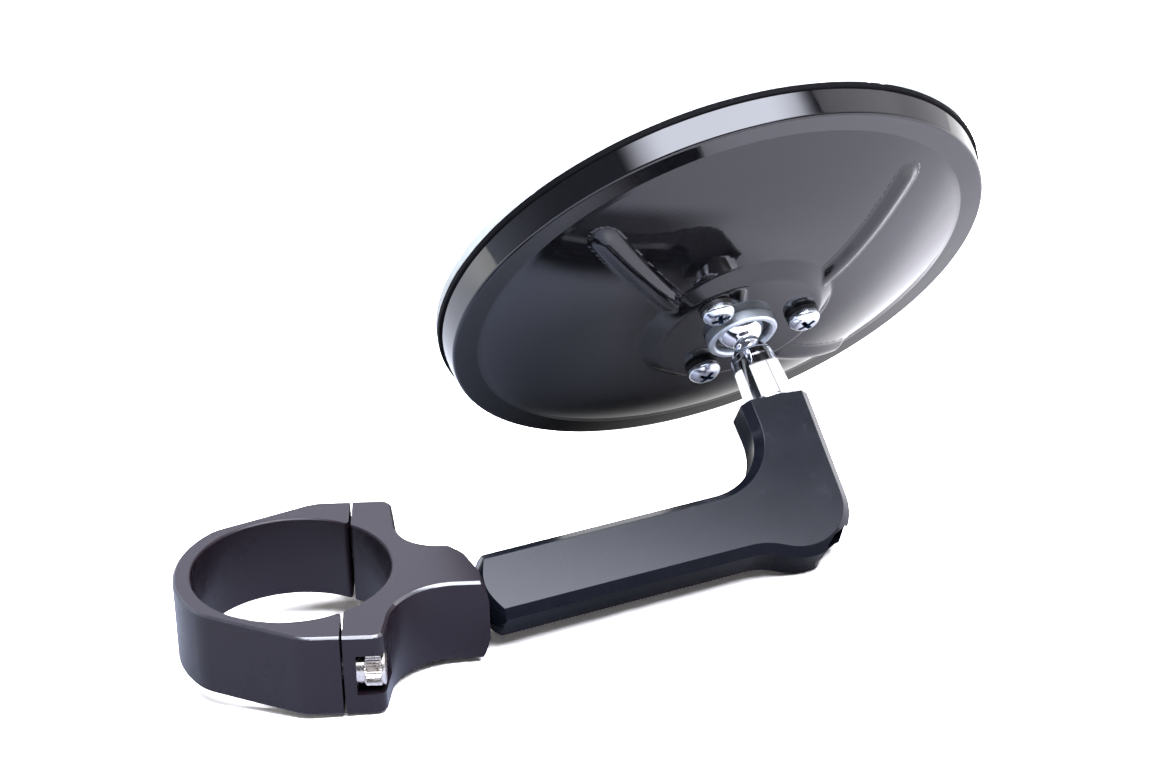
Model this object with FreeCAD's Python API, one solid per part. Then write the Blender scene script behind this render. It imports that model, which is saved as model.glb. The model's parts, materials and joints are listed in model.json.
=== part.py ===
import FreeCAD, Part
import os
from math import asin, cos, radians, sin, sqrt, tan

# Clamp-on round mirror: split tube clamp, swivelling bent arm and ball-jointed mirror head.
#
# Frame: +Z is the axis of the tube that the clamp holds, with z = 0 at the clamp's lower face.
# +X runs along the clamp's neck, towards the arm. All sizes are millimetres.

Vector = FreeCAD.Vector

# ---------------------------------------------------------------- driving dimensions
# tube clamp
BORE_R = 19.5             # radius of the tube that the clamp closes on
CLAMP_HEIGHT = 17.3
CLAMP_BACK_R = 23.0       # outer radius at the back of the strap
STRAP_FLAT_REACH = 21.8   # distance from the bore's axis to the strap's sloping flats
STRAP_FLAT_TURN = 26.7    # slope of those flats, in degrees
PAD_HALF = 26.0           # half of the width over the two screw pads
STRAP_END_X = 10.48       # where the strap ends
BODY_START_X = 10.94      # where the clamp body starts, leaving the clamping gap
EDGE_BREAK = 0.5          # chamfer on the clamp's outside edges
BORE_BREAK = 0.35         # chamfer at the bore's mouths
PAD_ROUND = 8.0           # round between a strap's pad and its sloping flat
BACK_ROUND = 9.0          # round between the sloping flat and the strap's back
TIP_ROUND = 0.9           # round where the bore meets the clamping gap
EAR_ROUND = 2.2           # round at an ear's outer corner
NECK_HALF = 7.5
EAR_TIP_X = 18.6          # front face of an ear at the pad
EAR_ROOT_X = 20.8         # front face of an ear where it meets the neck
FILLET_NEAR = 13.0        # fillet between ear and neck on the -Y side
FILLET_FAR = 9.0          # the same on the +Y side
NECK_BLANK_X = 41.0       # the neck before its end is turned

# clamp screws
SCREW_Y = 22.9            # clamp screw axis, from the middle plane
POCKET_X = 13.3           # floor of the open pocket that a screw head sits in
POCKET_HALF = 4.3
POCKET_INNER_Y = 18.4
M4_R = 1.95
M4_HOLE_R = 2.0           # the tapped hole, modelled with running clearance
M4_PASS_R = 2.2           # the clearance hole through an ear
M4_HEAD_R = 3.5
M4_HEAD_HIGH = 4.0
M4_KEY = 3.0              # hexagon across flats
M4_LENGTH = 12.0
TAP_DEEP = 8.0            # depth of a strap's tapped hole
M4_SHAFT_GAP = 0.15       # between a screw and its washer
M4_WASHER_R = 3.1
LOCK_WASHER = 1.5         # thickness of the spring washers on the clamp screws
WASHER_SPLIT = 0.5        # width of a spring washer's cut

# swivel between neck and arm
ARM_START_X = 34.5        # the arm's axis crosses the neck's middle here
ARM_YAW = 23.4            # plan angle of the arm's axis, in degrees
ARM_ROLL = 57.4           # how far the broad face is turned up about that axis
NECK_END_U = 0.6          # the neck's end face, measured along the arm's axis
NECK_END_R = 9.4
NECK_CONE_TURN = 34.0     # slope of the turned chamfer at the neck's end
BOLT_R = 2.5              # M5 screws, one in the neck and one in the short leg
BOLT_HOLE_R = 2.6
BOLT_HEAD_R = 4.25
BOLT_HEAD_HIGH = 5.0
BOLT_KEY = 4.0            # hexagon across flats
BOLT_LENGTH = 20.0
BOLT_RECESS_R = 4.6
BOLT_FLOOR_U = -7.2       # floor of the bolt's recess in the neck
DISC_THICK = 0.8
INSERT_R = 3.3            # threaded sleeve in the arm's end
INSERT_END_U = 12.5
DRILL_END_U = 15.5

# arm
ARM_WIDTH = 15.0
ARM_THICK = 10.0
ARM_BEVEL = 1.8
ARM_END_U = 1.8
ARM_END_R = 4.25
ARM_CONE_RISE = 0.7       # advance of the end cone for each mm of radius
LEG_LEAN = 2.5            # the short leg leans out past square by this, in degrees
LEG_AXIS_U = 78.1         # where the ball stud's axis leaves the short leg
LEG_END_V = 25.7
LEG_INSIDE = 8.3          # from that axis to the leg's inner wall
INNER_ROUND = 13.7
CORNER_ROUND = 12.5
CORNER_U = 70.5           # centre of the elbow's outer round
BULGE_DROP = 3.3          # how far the elbow swells below the arm
BULGE_RUN = 12.5
OUTER_LEAN = 4.8          # lean of the leg's outer wall, in degrees

# ball stud
BALL_R = 5.7
BALL_RISE = 21.5          # from the end of the leg to the ball's centre
STUD_R = 4.0              # spigot in the leg's bore
STUD_DEEP = 18.0
STUD_TAP_DEEP = 10.0
STUD_BASE_R = 5.4
STUD_TOP_R = 4.65
STUD_NECK_R = 2.6
STUD_SHOULDER = 12.6      # height of the shoulder over the leg's end
STUD_NECK_LOW = 15.5      # where the neck starts
STUD_SCREW_SEAT = 24.3    # depth of the counterbore's floor below the leg's end
STUD_WASHER = 1.0
STUD_BOLT_LENGTH = 16.0

# ball socket
HEAD_TIP = 1.0            # the head rests tipped up on its ball by this, in degrees
FIT = 0.05                # clearance of a running fit
SEAT_R = 6.5              # outside of the ball's plastic seat
SOCKET_R = SEAT_R + FIT   # the hollow that the seat lies in
SEAT_MOUTH = 68.0         # half angle of the seat's opening towards the stem
SEAT_FRONT = 35.0         # half angle of its opening at the front
COLLAR_R = 7.7
COLLAR_FLANGE_R = 10.2
COLLAR_RIM_Z = 4.1        # heights are from the ball's centre, rearwards
COLLAR_MOUTH_R = 6.15     # smaller than the seat, so that the seat can't come out
CAP_Z = -1.1              # floor of the cap's recess for the collar's flange
CUP_R = 7.9
CUP_TOP_Z = -1.25
CUP_LOW_Z = -8.2
CAP_R = 17.6
CAP_WALL = 1.3

# mirror head
SHEET = 0.8               # thickness of the pressed back shell
BOSS_Z = 1.8              # rear face of the shell's boss
BOSS_R = 18.2
DISH_START_R = 21.7       # the dish falls away from here
DISH_START_Z = -0.75
DISH_EDGE_R = 53.4
DISH_EDGE_Z = -9.3
FLANGE_Z = -9.7
FLANGE_R = 58.9
RIM_Z = -15.6
RIM_R = 60.4
SCREW_CIRCLE_R = 14.0
SCREW_ANGLES = (126.0, 6.0, -114.0)
SCREW_PASS_R = 2.2
PAN_HEAD_R = 3.5
PAN_HEAD_HIGH = 2.4
SHELL_SCREW_LENGTH = 5.2
SHELL_WASHER = 0.9        # thickness, then radii, of the rings under the pan heads
SHELL_WASHER_R = 3.6
SHELL_WASHER_HOLE_R = 2.1
CROSS_SPAN = 4.2          # cross recess: span, width and floor height
CROSS_WIDTH = 0.9
CROSS_FLOOR_Z = 1.3
RIB_LINES = (             # inner end and outer end of each pressed rib, on the dish
    ((-15.0, 9.5), (-36.0, 34.5)),
    ((16.5, 8.5), (33.5, 37.5)),
    ((14.0, -18.0), (36.5, -34.0)),
)
RIB_HALF = 2.6
RIB_RISE = 1.3
GASKET_R = 61.0
GASKET_INNER_R = 56.0
GASKET_THICK = 1.4
FOAM_R = 55.8
FOAM_INNER_R = 42.0
GLASS_R = 60.6
GLASS_THICK = 2.0
GLASS_CURVE_R = 1200.0    # the reflecting face is slightly domed
SILVER = 0.25

MID_Z = CLAMP_HEIGHT / 2
GLASS_Z = RIM_Z - GASKET_THICK
TINY = 1e-6               # two heights closer than this are the same
PAST = 60.0               # cutters run at least this far past what they cut
OUT = "parts"


# ---------------------------------------------------------------- helpers
def polygon_face(points):
    """Planar face from a closed list of points."""
    corners = [Vector(*p) for p in points]
    return Part.Face(Part.makePolygon(corners + corners[:1]))


def turned(profile):
    """Solid of revolution about Z from (radius, height) points."""
    face = polygon_face([(r, 0, z) for r, z in profile])
    return face.revolve(Vector(0, 0, 0), Vector(0, 0, 1), 360)


def ring(outer, inner, low, high):
    """Flat ring about Z."""
    return turned([(inner, low), (outer, low), (outer, high), (inner, high)])


def rod(radius, low, high):
    """Plain cylinder about Z."""
    return Part.makeCylinder(radius, high - low, Vector(0, 0, low))


def hex_prism(across_flats, low, high):
    """Hexagonal prism about Z."""
    corner = across_flats / 2 / cos(radians(30))
    points = [(corner * cos(radians(60 * i)), corner * sin(radians(60 * i)), low) for i in range(6)]
    return polygon_face(points).extrude(Vector(0, 0, high - low))


def box(low, high):
    """Box between two opposite corners."""
    size = [b - a for a, b in zip(low, high)]
    return Part.makeBox(*size, Vector(*low))


def frame_placement(origin, x_axis, y_axis, z_axis):
    """Placement that carries a local frame to the given origin and axes."""
    rows = FreeCAD.Matrix(
        x_axis.x, y_axis.x, z_axis.x, origin.x,
        x_axis.y, y_axis.y, z_axis.y, origin.y,
        x_axis.z, y_axis.z, z_axis.z, origin.z,
        0, 0, 0, 1)
    return FreeCAD.Placement(rows)


def placed(shape, placement):
    """Copy of a shape carried by a placement."""
    moved = shape.copy()
    moved.Placement = placement.multiply(moved.Placement)
    return moved


def along(origin, direction):
    """Placement whose Z runs along a direction from an origin."""
    return FreeCAD.Placement(origin, FreeCAD.Rotation(Vector(0, 0, 1), direction))


def edges_on(shape, test):
    """Edges whose every vertex passes a test."""
    return [e for e in shape.Edges if all(test(v.Point) for v in e.Vertexes)]


def cap_screw(thread_r, head_r, head_high, length, key):
    """Socket-head cap screw: the head's underside at z = 0, the shank going down."""
    head = rod(head_r, 0, head_high)
    rim = edges_on(head, lambda p: abs(p.z - head_high) < TINY)
    head = head.makeChamfer(0.3, rim)
    tip = 0.4
    shank = turned([
        (0, 0), (thread_r, 0), (thread_r, -length + tip),
        (thread_r - tip, -length), (0, -length)])
    socket = hex_prism(key, head_high * 0.45, head_high + 1)
    return head.fuse(shank).removeSplitter().cut(socket)


def export(shape, name):
    """Write one node, after checking that it is sound."""
    if not shape.isValid():
        raise ValueError(name + " is not valid")
    shape.exportStep(os.path.join(OUT, name + ".step"))
    print(name, len(shape.Solids), round(shape.Volume, 1))


# ---------------------------------------------------------------- clamp
arm_axis = Vector(cos(radians(ARM_YAW)), sin(radians(ARM_YAW)), 0)
arm_origin = Vector(ARM_START_X, 0, MID_Z)
arm_line = along(arm_origin, arm_axis)


def strap_back_corner():
    """Plan position where the strap's round back meets its flat on the +Y side."""
    turn = radians(STRAP_FLAT_TURN)
    normal = Vector(-sin(turn), cos(turn), 0)
    along_flat = Vector(-cos(turn), -sin(turn), 0)
    reach = sqrt(CLAMP_BACK_R ** 2 - STRAP_FLAT_REACH ** 2)
    return normal * STRAP_FLAT_REACH + along_flat * reach


def strap_outline():
    """Plan of the strap, a C that ends in two pads."""
    turn = radians(STRAP_FLAT_TURN)
    meet = strap_back_corner()
    corner_x = (PAD_HALF * cos(turn) - STRAP_FLAT_REACH) / sin(turn)
    top = [Vector(STRAP_END_X, PAD_HALF, 0), Vector(corner_x, PAD_HALF, 0), meet]
    bottom = [Vector(p.x, -p.y, 0) for p in reversed(top)]
    back = Part.Arc(meet, Vector(-CLAMP_BACK_R, 0, 0), bottom[0]).toShape()
    edges = [Part.makeLine(top[0], top[1]), Part.makeLine(top[1], top[2]), back]
    edges += [Part.makeLine(bottom[0], bottom[1]), Part.makeLine(bottom[1], bottom[2])]
    edges.append(Part.makeLine(bottom[2], top[0]))
    return Part.Face(Part.Wire(edges))


def upright_edges(shape, x, y):
    """Upright edges that stand at a plan position."""
    return edges_on(shape, lambda p: abs(p.x - x) < 0.01 and abs(p.y - y) < 0.01)


def flat_edges(shape, keep):
    """Edges that lie in the lower or the upper face and pass a test at their middle."""
    found = []
    for edge in shape.Edges:
        extent = edge.BoundBox
        on_face = min(abs(extent.ZMin), abs(extent.ZMin - CLAMP_HEIGHT)) < TINY
        middle = edge.valueAt((edge.FirstParameter + edge.LastParameter) / 2)
        if extent.ZLength < TINY and on_face and keep(middle):
            found.append(edge)
    return found


def rounded_tips(shape, gap_x):
    """The shape with its upright edges between the bore and the clamping gap rounded."""
    reach = sqrt(BORE_R ** 2 - gap_x ** 2)
    tips = upright_edges(shape, gap_x, reach) + upright_edges(shape, gap_x, -reach)
    return shape.makeFillet(TIP_ROUND, tips)


def bore_cutter():
    """The tube's space, with a small chamfer at each mouth."""
    out = BORE_R + BORE_BREAK
    high = CLAMP_HEIGHT + PAST
    return turned([
        (0, -PAST), (out, -PAST), (out, 0), (BORE_R, BORE_BREAK),
        (BORE_R, CLAMP_HEIGHT - BORE_BREAK), (out, CLAMP_HEIGHT), (out, high), (0, high)])


def clamp_strap():
    """C-shaped strap, tapped for the two clamp screws."""
    solid = strap_outline().extrude(Vector(0, 0, CLAMP_HEIGHT))
    turn = radians(STRAP_FLAT_TURN)
    corner_x = (PAD_HALF * cos(turn) - STRAP_FLAT_REACH) / sin(turn)
    corners = upright_edges(solid, corner_x, PAD_HALF) + upright_edges(solid, corner_x, -PAD_HALF)
    solid = solid.makeFillet(PAD_ROUND, corners)
    meet = strap_back_corner()
    corners = upright_edges(solid, meet.x, meet.y) + upright_edges(solid, meet.x, -meet.y)
    solid = solid.makeFillet(BACK_ROUND, corners)
    outside = flat_edges(solid, lambda p: p.x < STRAP_END_X - 0.01)
    solid = solid.makeChamfer(EDGE_BREAK, outside)
    solid = rounded_tips(solid.cut(bore_cutter()), STRAP_END_X)
    for side in (-1, 1):
        mouth = Vector(STRAP_END_X, side * SCREW_Y, MID_Z)
        hole = placed(rod(M4_HOLE_R, -1, TAP_DEEP), along(mouth, Vector(-1, 0, 0)))
        solid = solid.cut(hole)
    return solid


def neck_end_cutter():
    """What the turned chamfer takes off the neck's end, about the arm's axis."""
    wide = 20.0
    back = NECK_END_U - (wide - NECK_END_R) * tan(radians(NECK_CONE_TURN))
    far = NECK_END_U + PAST
    profile = [(NECK_END_R, NECK_END_U), (wide, back), (wide, far), (0, far), (0, NECK_END_U)]
    return placed(turned(profile), arm_line)


def clamp_body():
    """Body with two ears, two screw pockets and the neck that carries the arm."""
    half = [
        (BODY_START_X, PAD_HALF), (EAR_TIP_X, PAD_HALF),
        (EAR_ROOT_X, NECK_HALF), (NECK_BLANK_X, NECK_HALF)]
    plan = [(x, -y, 0) for x, y in half] + [(x, y, 0) for x, y in reversed(half)]
    solid = polygon_face(plan).extrude(Vector(0, 0, CLAMP_HEIGHT))
    tips = upright_edges(solid, EAR_TIP_X, -PAD_HALF) + upright_edges(solid, EAR_TIP_X, PAD_HALF)
    solid = solid.makeFillet(EAR_ROUND, tips)
    solid = solid.makeFillet(FILLET_NEAR, upright_edges(solid, EAR_ROOT_X, -NECK_HALF))
    solid = solid.makeFillet(FILLET_FAR, upright_edges(solid, EAR_ROOT_X, NECK_HALF))
    outside = flat_edges(solid, lambda p: BODY_START_X + 0.01 < p.x < NECK_BLANK_X - 0.01)
    solid = solid.makeChamfer(EDGE_BREAK, outside)
    solid = rounded_tips(solid.cut(bore_cutter()), BODY_START_X)
    solid = solid.cut(neck_end_cutter())
    for side in (-1, 1):
        near_y, far_y = sorted((side * POCKET_INNER_Y, side * (PAD_HALF + 1)))
        low = (POCKET_X, near_y, MID_Z - POCKET_HALF)
        high = (EAR_ROOT_X + 1, far_y, MID_Z + POCKET_HALF)
        way = along(Vector(POCKET_X + 1, side * SCREW_Y, MID_Z), Vector(-1, 0, 0))
        hole = placed(rod(M4_PASS_R, 0, POCKET_X), way)
        solid = solid.cut(box(low, high).fuse(hole))
    solid = solid.cut(placed(rod(BOLT_HOLE_R, -ARM_START_X, NECK_END_U + 1), arm_line))
    solid = solid.cut(placed(rod(BOLT_RECESS_R, -ARM_START_X, BOLT_FLOOR_U), arm_line))
    return solid


def lock_washer(inner, outer, thick):
    """Split spring washer standing on z = 0."""
    half = WASHER_SPLIT / 2
    slot = box((inner / 2, -half, -1), (outer + 1, half, thick + 1))
    return ring(outer, inner, 0, thick).cut(slot)


# ---------------------------------------------------------------- swivel bolt at the neck
def swivel_bolt():
    """Cap screw that goes in from the bore and holds the arm to the neck."""
    screw = cap_screw(BOLT_R, BOLT_HEAD_R, BOLT_HEAD_HIGH, BOLT_LENGTH, BOLT_KEY)
    seat = arm_origin + arm_axis * (BOLT_FLOOR_U - DISC_THICK)
    return placed(screw, along(seat, arm_axis * -1))


def disc_spring():
    """Coned disc spring under the bolt's head."""
    low = BOLT_FLOOR_U - DISC_THICK
    cone = 0.3
    inner = BOLT_R + 0.15
    outer = BOLT_HEAD_R - FIT
    profile = [(inner, low), (outer, low + cone), (outer, BOLT_FLOOR_U), (inner, BOLT_FLOOR_U - cone)]
    return placed(turned(profile), arm_line)


def swivel_washer():
    """Friction washer between the neck and the arm."""
    return placed(ring(ARM_END_R - FIT, BOLT_HOLE_R, NECK_END_U, ARM_END_U - FIT), arm_line)


def swivel_insert():
    """Steel threaded sleeve in the arm's end."""
    return placed(ring(INSERT_R, BOLT_R + FIT, ARM_END_U, INSERT_END_U), arm_line)


# ---------------------------------------------------------------- arm
roll = radians(ARM_ROLL)
toward_near = Vector(arm_axis.y, -arm_axis.x, 0)
leg_side = toward_near * -sin(roll) + Vector(0, 0, cos(roll))
broad_normal = toward_near * cos(roll) + Vector(0, 0, sin(roll))
arm_place = frame_placement(arm_origin, arm_axis, leg_side, broad_normal)

lean = radians(LEG_LEAN)
leg_axis = Vector(sin(lean), cos(lean), 0)
leg_across = Vector(cos(lean), -sin(lean), 0)
leg_end = Vector(LEG_AXIS_U, LEG_END_V, 0)
ball_centre_local = leg_end + leg_axis * BALL_RISE


def line_cross(p, d, q, e):
    """Where the line through p along d meets the line through q along e, in the plane."""
    den = d.x * e.y - d.y * e.x
    step = ((q.x - p.x) * e.y - (q.y - p.y) * e.x) / den
    return p + d * step


def arm_outline():
    """Side outline of the arm: long leg, elbow with its swelling, and short leg."""
    half = ARM_WIDTH / 2
    start = Vector(ARM_END_U - 1, half, 0)
    inner_wall = leg_end - leg_across * LEG_INSIDE
    corner = line_cross(start, Vector(1, 0, 0), inner_wall, leg_axis)
    # tangent length of the inner round, whose legs open by 90 degrees plus the lean
    run = INNER_ROUND * tan((radians(90) - lean) / 2)
    round_a = corner - Vector(run, 0, 0)
    round_b = corner + leg_axis * run
    centre = round_a + Vector(0, INNER_ROUND, 0)
    toward = (corner - centre).normalize()
    inner_arc = Part.Arc(round_a, centre + toward * INNER_ROUND, round_b).toShape()

    low = -half - BULGE_DROP
    bulge_end = Vector(CORNER_U, low, 0)
    bulge_start = Vector(CORNER_U - BULGE_RUN, -half, 0)
    bulge_r = (BULGE_RUN ** 2 + BULGE_DROP ** 2) / (4 * BULGE_DROP)
    half_turn = asin(BULGE_RUN / 2 / bulge_r) / 2
    middle = (bulge_start + bulge_end) * 0.5
    first = bulge_start + Vector(bulge_r * sin(half_turn), -bulge_r * (1 - cos(half_turn)), 0)
    second = bulge_end + Vector(-bulge_r * sin(half_turn), bulge_r * (1 - cos(half_turn)), 0)
    arc_down = Part.Arc(bulge_start, first, middle).toShape()
    arc_level = Part.Arc(middle, second, bulge_end).toShape()

    corner_centre = Vector(CORNER_U, low + CORNER_ROUND, 0)
    out_lean = radians(OUTER_LEAN)
    outer_dir = Vector(sin(out_lean), cos(out_lean), 0)
    round_end = corner_centre + Vector(cos(out_lean), -sin(out_lean), 0) * CORNER_ROUND
    turn_mid = radians(-45 - OUTER_LEAN / 2)
    elbow_mid = corner_centre + Vector(cos(turn_mid), sin(turn_mid), 0) * CORNER_ROUND
    elbow_arc = Part.Arc(bulge_end, elbow_mid, round_end).toShape()
    outer_top = line_cross(round_end, outer_dir, leg_end, leg_across)
    base = Vector(ARM_END_U - 1, -half, 0)
    edges = [
        Part.makeLine(start, round_a), inner_arc, Part.makeLine(round_b, inner_wall),
        Part.makeLine(inner_wall, outer_top), Part.makeLine(outer_top, round_end), elbow_arc,
        arc_level, arc_down, Part.makeLine(bulge_start, base), Part.makeLine(base, start)]
    return Part.Face(Part.Wire(Part.__sortEdges__(edges)))


def arm():
    """Bent arm with bevelled broad faces, a coned end and bores for its fasteners."""
    slab = arm_outline().extrude(Vector(0, 0, ARM_THICK))
    slab.translate(Vector(0, 0, -ARM_THICK / 2))
    rims = []
    for edge in slab.Edges:
        flat = edge.BoundBox.ZLength < TINY
        middle = edge.valueAt((edge.FirstParameter + edge.LastParameter) / 2)
        on_leg_end = abs((middle - leg_end).dot(leg_axis)) < 1e-3
        on_arm_end = abs(middle.x - (ARM_END_U - 1)) < 1e-3
        if flat and not on_leg_end and not on_arm_end:
            rims.append(edge)
    slab = slab.makeChamfer(ARM_BEVEL, rims)
    reach = 14.0
    zone_end = 30.0
    cone_top = ARM_END_U + (reach - ARM_END_R) * ARM_CONE_RISE
    along_arm = along(Vector(0, 0, 0), Vector(1, 0, 0))
    profile = [(0, ARM_END_U), (ARM_END_R, ARM_END_U), (reach, cone_top), (reach, zone_end), (0, zone_end)]
    end_zone = rod(2 * reach, -reach, zone_end)
    slab = slab.cut(placed(end_zone.cut(turned(profile)), along_arm))
    slab = slab.cut(placed(rod(INSERT_R, 0, INSERT_END_U), along_arm))
    slab = slab.cut(placed(rod(BOLT_HOLE_R, 0, DRILL_END_U), along_arm))
    down_leg = along(leg_end, leg_axis * -1)
    slab = slab.cut(placed(rod(STUD_R, -1, STUD_DEEP), down_leg))
    slab = slab.cut(placed(rod(BOLT_HOLE_R, 0, PAST), down_leg))
    slab = slab.cut(placed(rod(BOLT_RECESS_R, STUD_SCREW_SEAT, PAST), down_leg))
    return placed(slab, arm_place)


# ---------------------------------------------------------------- ball stud
stud_place = arm_place.multiply(along(leg_end, leg_axis))


def ball_stud():
    """Plated stud: ball, neck, coned stem and a spigot tapped for its screw."""
    foot = 0.6
    body = turned([
        (0, -STUD_DEEP), (STUD_R, -STUD_DEEP), (STUD_R, 0), (STUD_BASE_R, 0), (STUD_BASE_R, foot),
        (STUD_TOP_R, STUD_SHOULDER), (STUD_NECK_R, STUD_NECK_LOW), (STUD_NECK_R, BALL_RISE), (0, BALL_RISE)])
    ball = Part.makeSphere(BALL_R, Vector(0, 0, BALL_RISE))
    body = body.fuse(ball)
    body = body.cut(rod(BOLT_R + FIT, -STUD_DEEP - 1, -STUD_DEEP + STUD_TAP_DEEP))
    return placed(body, stud_place)


def stud_screw():
    """Cap screw that pulls the stud's spigot down into the leg, from under the elbow."""
    screw = cap_screw(BOLT_R, BOLT_HEAD_R, BOLT_HEAD_HIGH, STUD_BOLT_LENGTH, BOLT_KEY)
    seat = leg_end - leg_axis * (STUD_SCREW_SEAT + STUD_WASHER)
    return placed(screw, arm_place.multiply(along(seat, leg_axis * -1)))


def stud_washer():
    """Spring washer under the stud screw's head."""
    seat = leg_end - leg_axis * STUD_SCREW_SEAT
    washer = lock_washer(BOLT_HOLE_R, BOLT_HEAD_R - FIT, STUD_WASHER)
    return placed(washer, arm_place.multiply(along(seat, leg_axis * -1)))


# ---------------------------------------------------------------- mirror head
ball_centre = arm_place.multVec(ball_centre_local)
stem_way = arm_place.Rotation.multVec(leg_axis)
head_x = Vector(stem_way.y, -stem_way.x, 0).normalize()
forward = FreeCAD.Rotation(head_x, HEAD_TIP).multVec(stem_way)
head_z = forward * -1
head_y = head_z.cross(head_x)
head_place = frame_placement(ball_centre, head_x, head_y, head_z)


def ball_seat():
    """Plastic seat around the ball, open towards the stem and at the front."""
    shell = Part.makeSphere(SEAT_R).cut(Part.makeSphere(BALL_R + FIT))
    far = 20.0
    for half_angle, way in ((SEAT_MOUTH, far), (SEAT_FRONT, -far)):
        rim = (far * sin(radians(half_angle)), way * cos(radians(half_angle)))
        shell = shell.cut(turned([(0, 0), rim, (0, way)]))
    return placed(shell, head_place)


def socket_collar():
    """Plated collar that holds the ball and seat from behind."""
    inside = BOSS_Z - SHEET
    low = CAP_Z + FIT
    outer_break = 0.4
    inner_break = 0.3
    body = turned([
        (0, low), (COLLAR_FLANGE_R, low), (COLLAR_FLANGE_R, inside - FIT), (COLLAR_R, inside - FIT),
        (COLLAR_R, COLLAR_RIM_Z - outer_break), (COLLAR_R - outer_break, COLLAR_RIM_Z), (0, COLLAR_RIM_Z)])
    wide = COLLAR_MOUTH_R + inner_break
    mouth = turned([
        (0, 0), (COLLAR_MOUTH_R, 0), (COLLAR_MOUTH_R, COLLAR_RIM_Z - inner_break),
        (wide, COLLAR_RIM_Z), (wide, PAST), (0, PAST)])
    return placed(body.cut(Part.makeSphere(SOCKET_R)).cut(mouth), head_place)


def pressure_cup():
    """Cup that presses the seat on the ball from the front."""
    body = turned([(0, CUP_TOP_Z), (CUP_R, CUP_TOP_Z), (CUP_R, CUP_LOW_Z), (0, CUP_LOW_Z)])
    return placed(body.cut(Part.makeSphere(SOCKET_R)), head_place)


def wave_spring():
    """Coned disc spring that loads the pressure cup."""
    inner = 3.2
    outer = CUP_R - 0.3
    thick = 0.5
    cone = 0.5
    top = CUP_LOW_Z
    profile = [(inner, top - cone), (outer, top), (outer, top - thick), (inner, top - cone - thick)]
    return placed(turned(profile), head_place)


def on_screw_circle(angle, height):
    """Placement of one of the shell's screws in the head's own frame."""
    x = SCREW_CIRCLE_R * cos(radians(angle))
    y = SCREW_CIRCLE_R * sin(radians(angle))
    return FreeCAD.Placement(Vector(x, y, height), FreeCAD.Rotation())


def socket_cap():
    """Pressed cap inside the shell: it holds the spring stack and takes the three screws."""
    inside = BOSS_Z - SHEET
    spring_room = 1.0
    deep = CUP_LOW_Z - spring_room - FIT
    well = CUP_R + 0.2
    wall = well + CAP_WALL
    recess = COLLAR_FLANGE_R + 0.3
    flange_low = BOSS_Z + SHELL_WASHER - SHELL_SCREW_LENGTH
    body = turned([
        (0, deep), (well, deep), (well, CAP_Z), (recess, CAP_Z), (recess, inside),
        (CAP_R, inside), (CAP_R, flange_low), (wall, flange_low),
        (wall, deep - CAP_WALL), (0, deep - CAP_WALL)])
    for angle in SCREW_ANGLES:
        body = body.cut(placed(rod(M4_R, -CAP_R, CAP_R), on_screw_circle(angle, 0)))
    return placed(body, head_place)


def dish_height(radius):
    """Height of the dish's rear surface between the boss and the flange."""
    share = (radius - DISH_START_R) / (DISH_EDGE_R - DISH_START_R)
    return DISH_START_Z + (DISH_EDGE_Z - DISH_START_Z) * share ** 1.7


def shell_profile():
    """Rear outline of the pressed shell as (radius, height), from the boss to the rim."""
    steps = 7
    radii = [DISH_START_R + (DISH_EDGE_R - DISH_START_R) * i / steps for i in range(steps + 1)]
    boss = [(COLLAR_R + 0.08, BOSS_Z), (BOSS_R - 0.6, BOSS_Z), (BOSS_R, BOSS_Z - 0.25)]
    dish = [(r, dish_height(r)) for r in radii]
    flange = [(DISH_EDGE_R + 1, FLANGE_Z), (FLANGE_R, FLANGE_Z)]
    band = [(FLANGE_R + 0.7, FLANGE_Z - 0.2), (FLANGE_R + 1, FLANGE_Z - 0.8), (RIM_R, RIM_Z)]
    return boss + dish + flange + band


def offset_profile(points, thick):
    """The same outline moved inwards by the sheet's thickness."""
    moved = []
    for i, (r, z) in enumerate(points):
        before = points[max(i - 1, 0)]
        after = points[min(i + 1, len(points) - 1)]
        run = Vector(after[0] - before[0], after[1] - before[1], 0).normalize()
        moved.append((r + run.y * thick, z - run.x * thick))
    moved[0] = (points[0][0], points[0][1] - thick)
    moved[-1] = (moved[-1][0], points[-1][1])
    return moved


def rib(start, end):
    """Raised rib that follows the dish between two points of its plan."""
    a = Vector(start[0], start[1], 0)
    b = Vector(end[0], end[1], 0)
    run = b - a
    length = run.Length
    steps = 8
    top = []
    bottom = []
    for i in range(steps + 1):
        share = i / steps
        spot = a + run * share
        height = dish_height(max(spot.Length, DISH_START_R))
        rise = RIB_RISE * min(1.0, 6 * share, 6 * (1 - share))
        top.append((length * share, 0, height + rise))
        bottom.append((length * share, 0, height - SHEET * 0.7))
    side = polygon_face(top + bottom[::-1])
    body = side.extrude(Vector(0, 2 * RIB_HALF, 0))
    body.translate(Vector(0, -RIB_HALF, 0))
    turn = FreeCAD.Rotation(Vector(1, 0, 0), run)
    return placed(body, FreeCAD.Placement(a, turn))


def back_shell():
    """Pressed steel shell: boss, dish with ribs, flange and side band."""
    rear = shell_profile()
    front = offset_profile(rear, SHEET)
    body = turned(rear + front[::-1])
    for start, end in RIB_LINES:
        body = body.fuse(rib(start, end))
    body = body.cut(rod(CAP_R + FIT, FLANGE_Z, BOSS_Z - SHEET))
    for angle in SCREW_ANGLES:
        body = body.cut(placed(rod(SCREW_PASS_R, 0, BOSS_Z + 1), on_screw_circle(angle, 0)))
    return placed(body.removeSplitter(), head_place)


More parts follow.
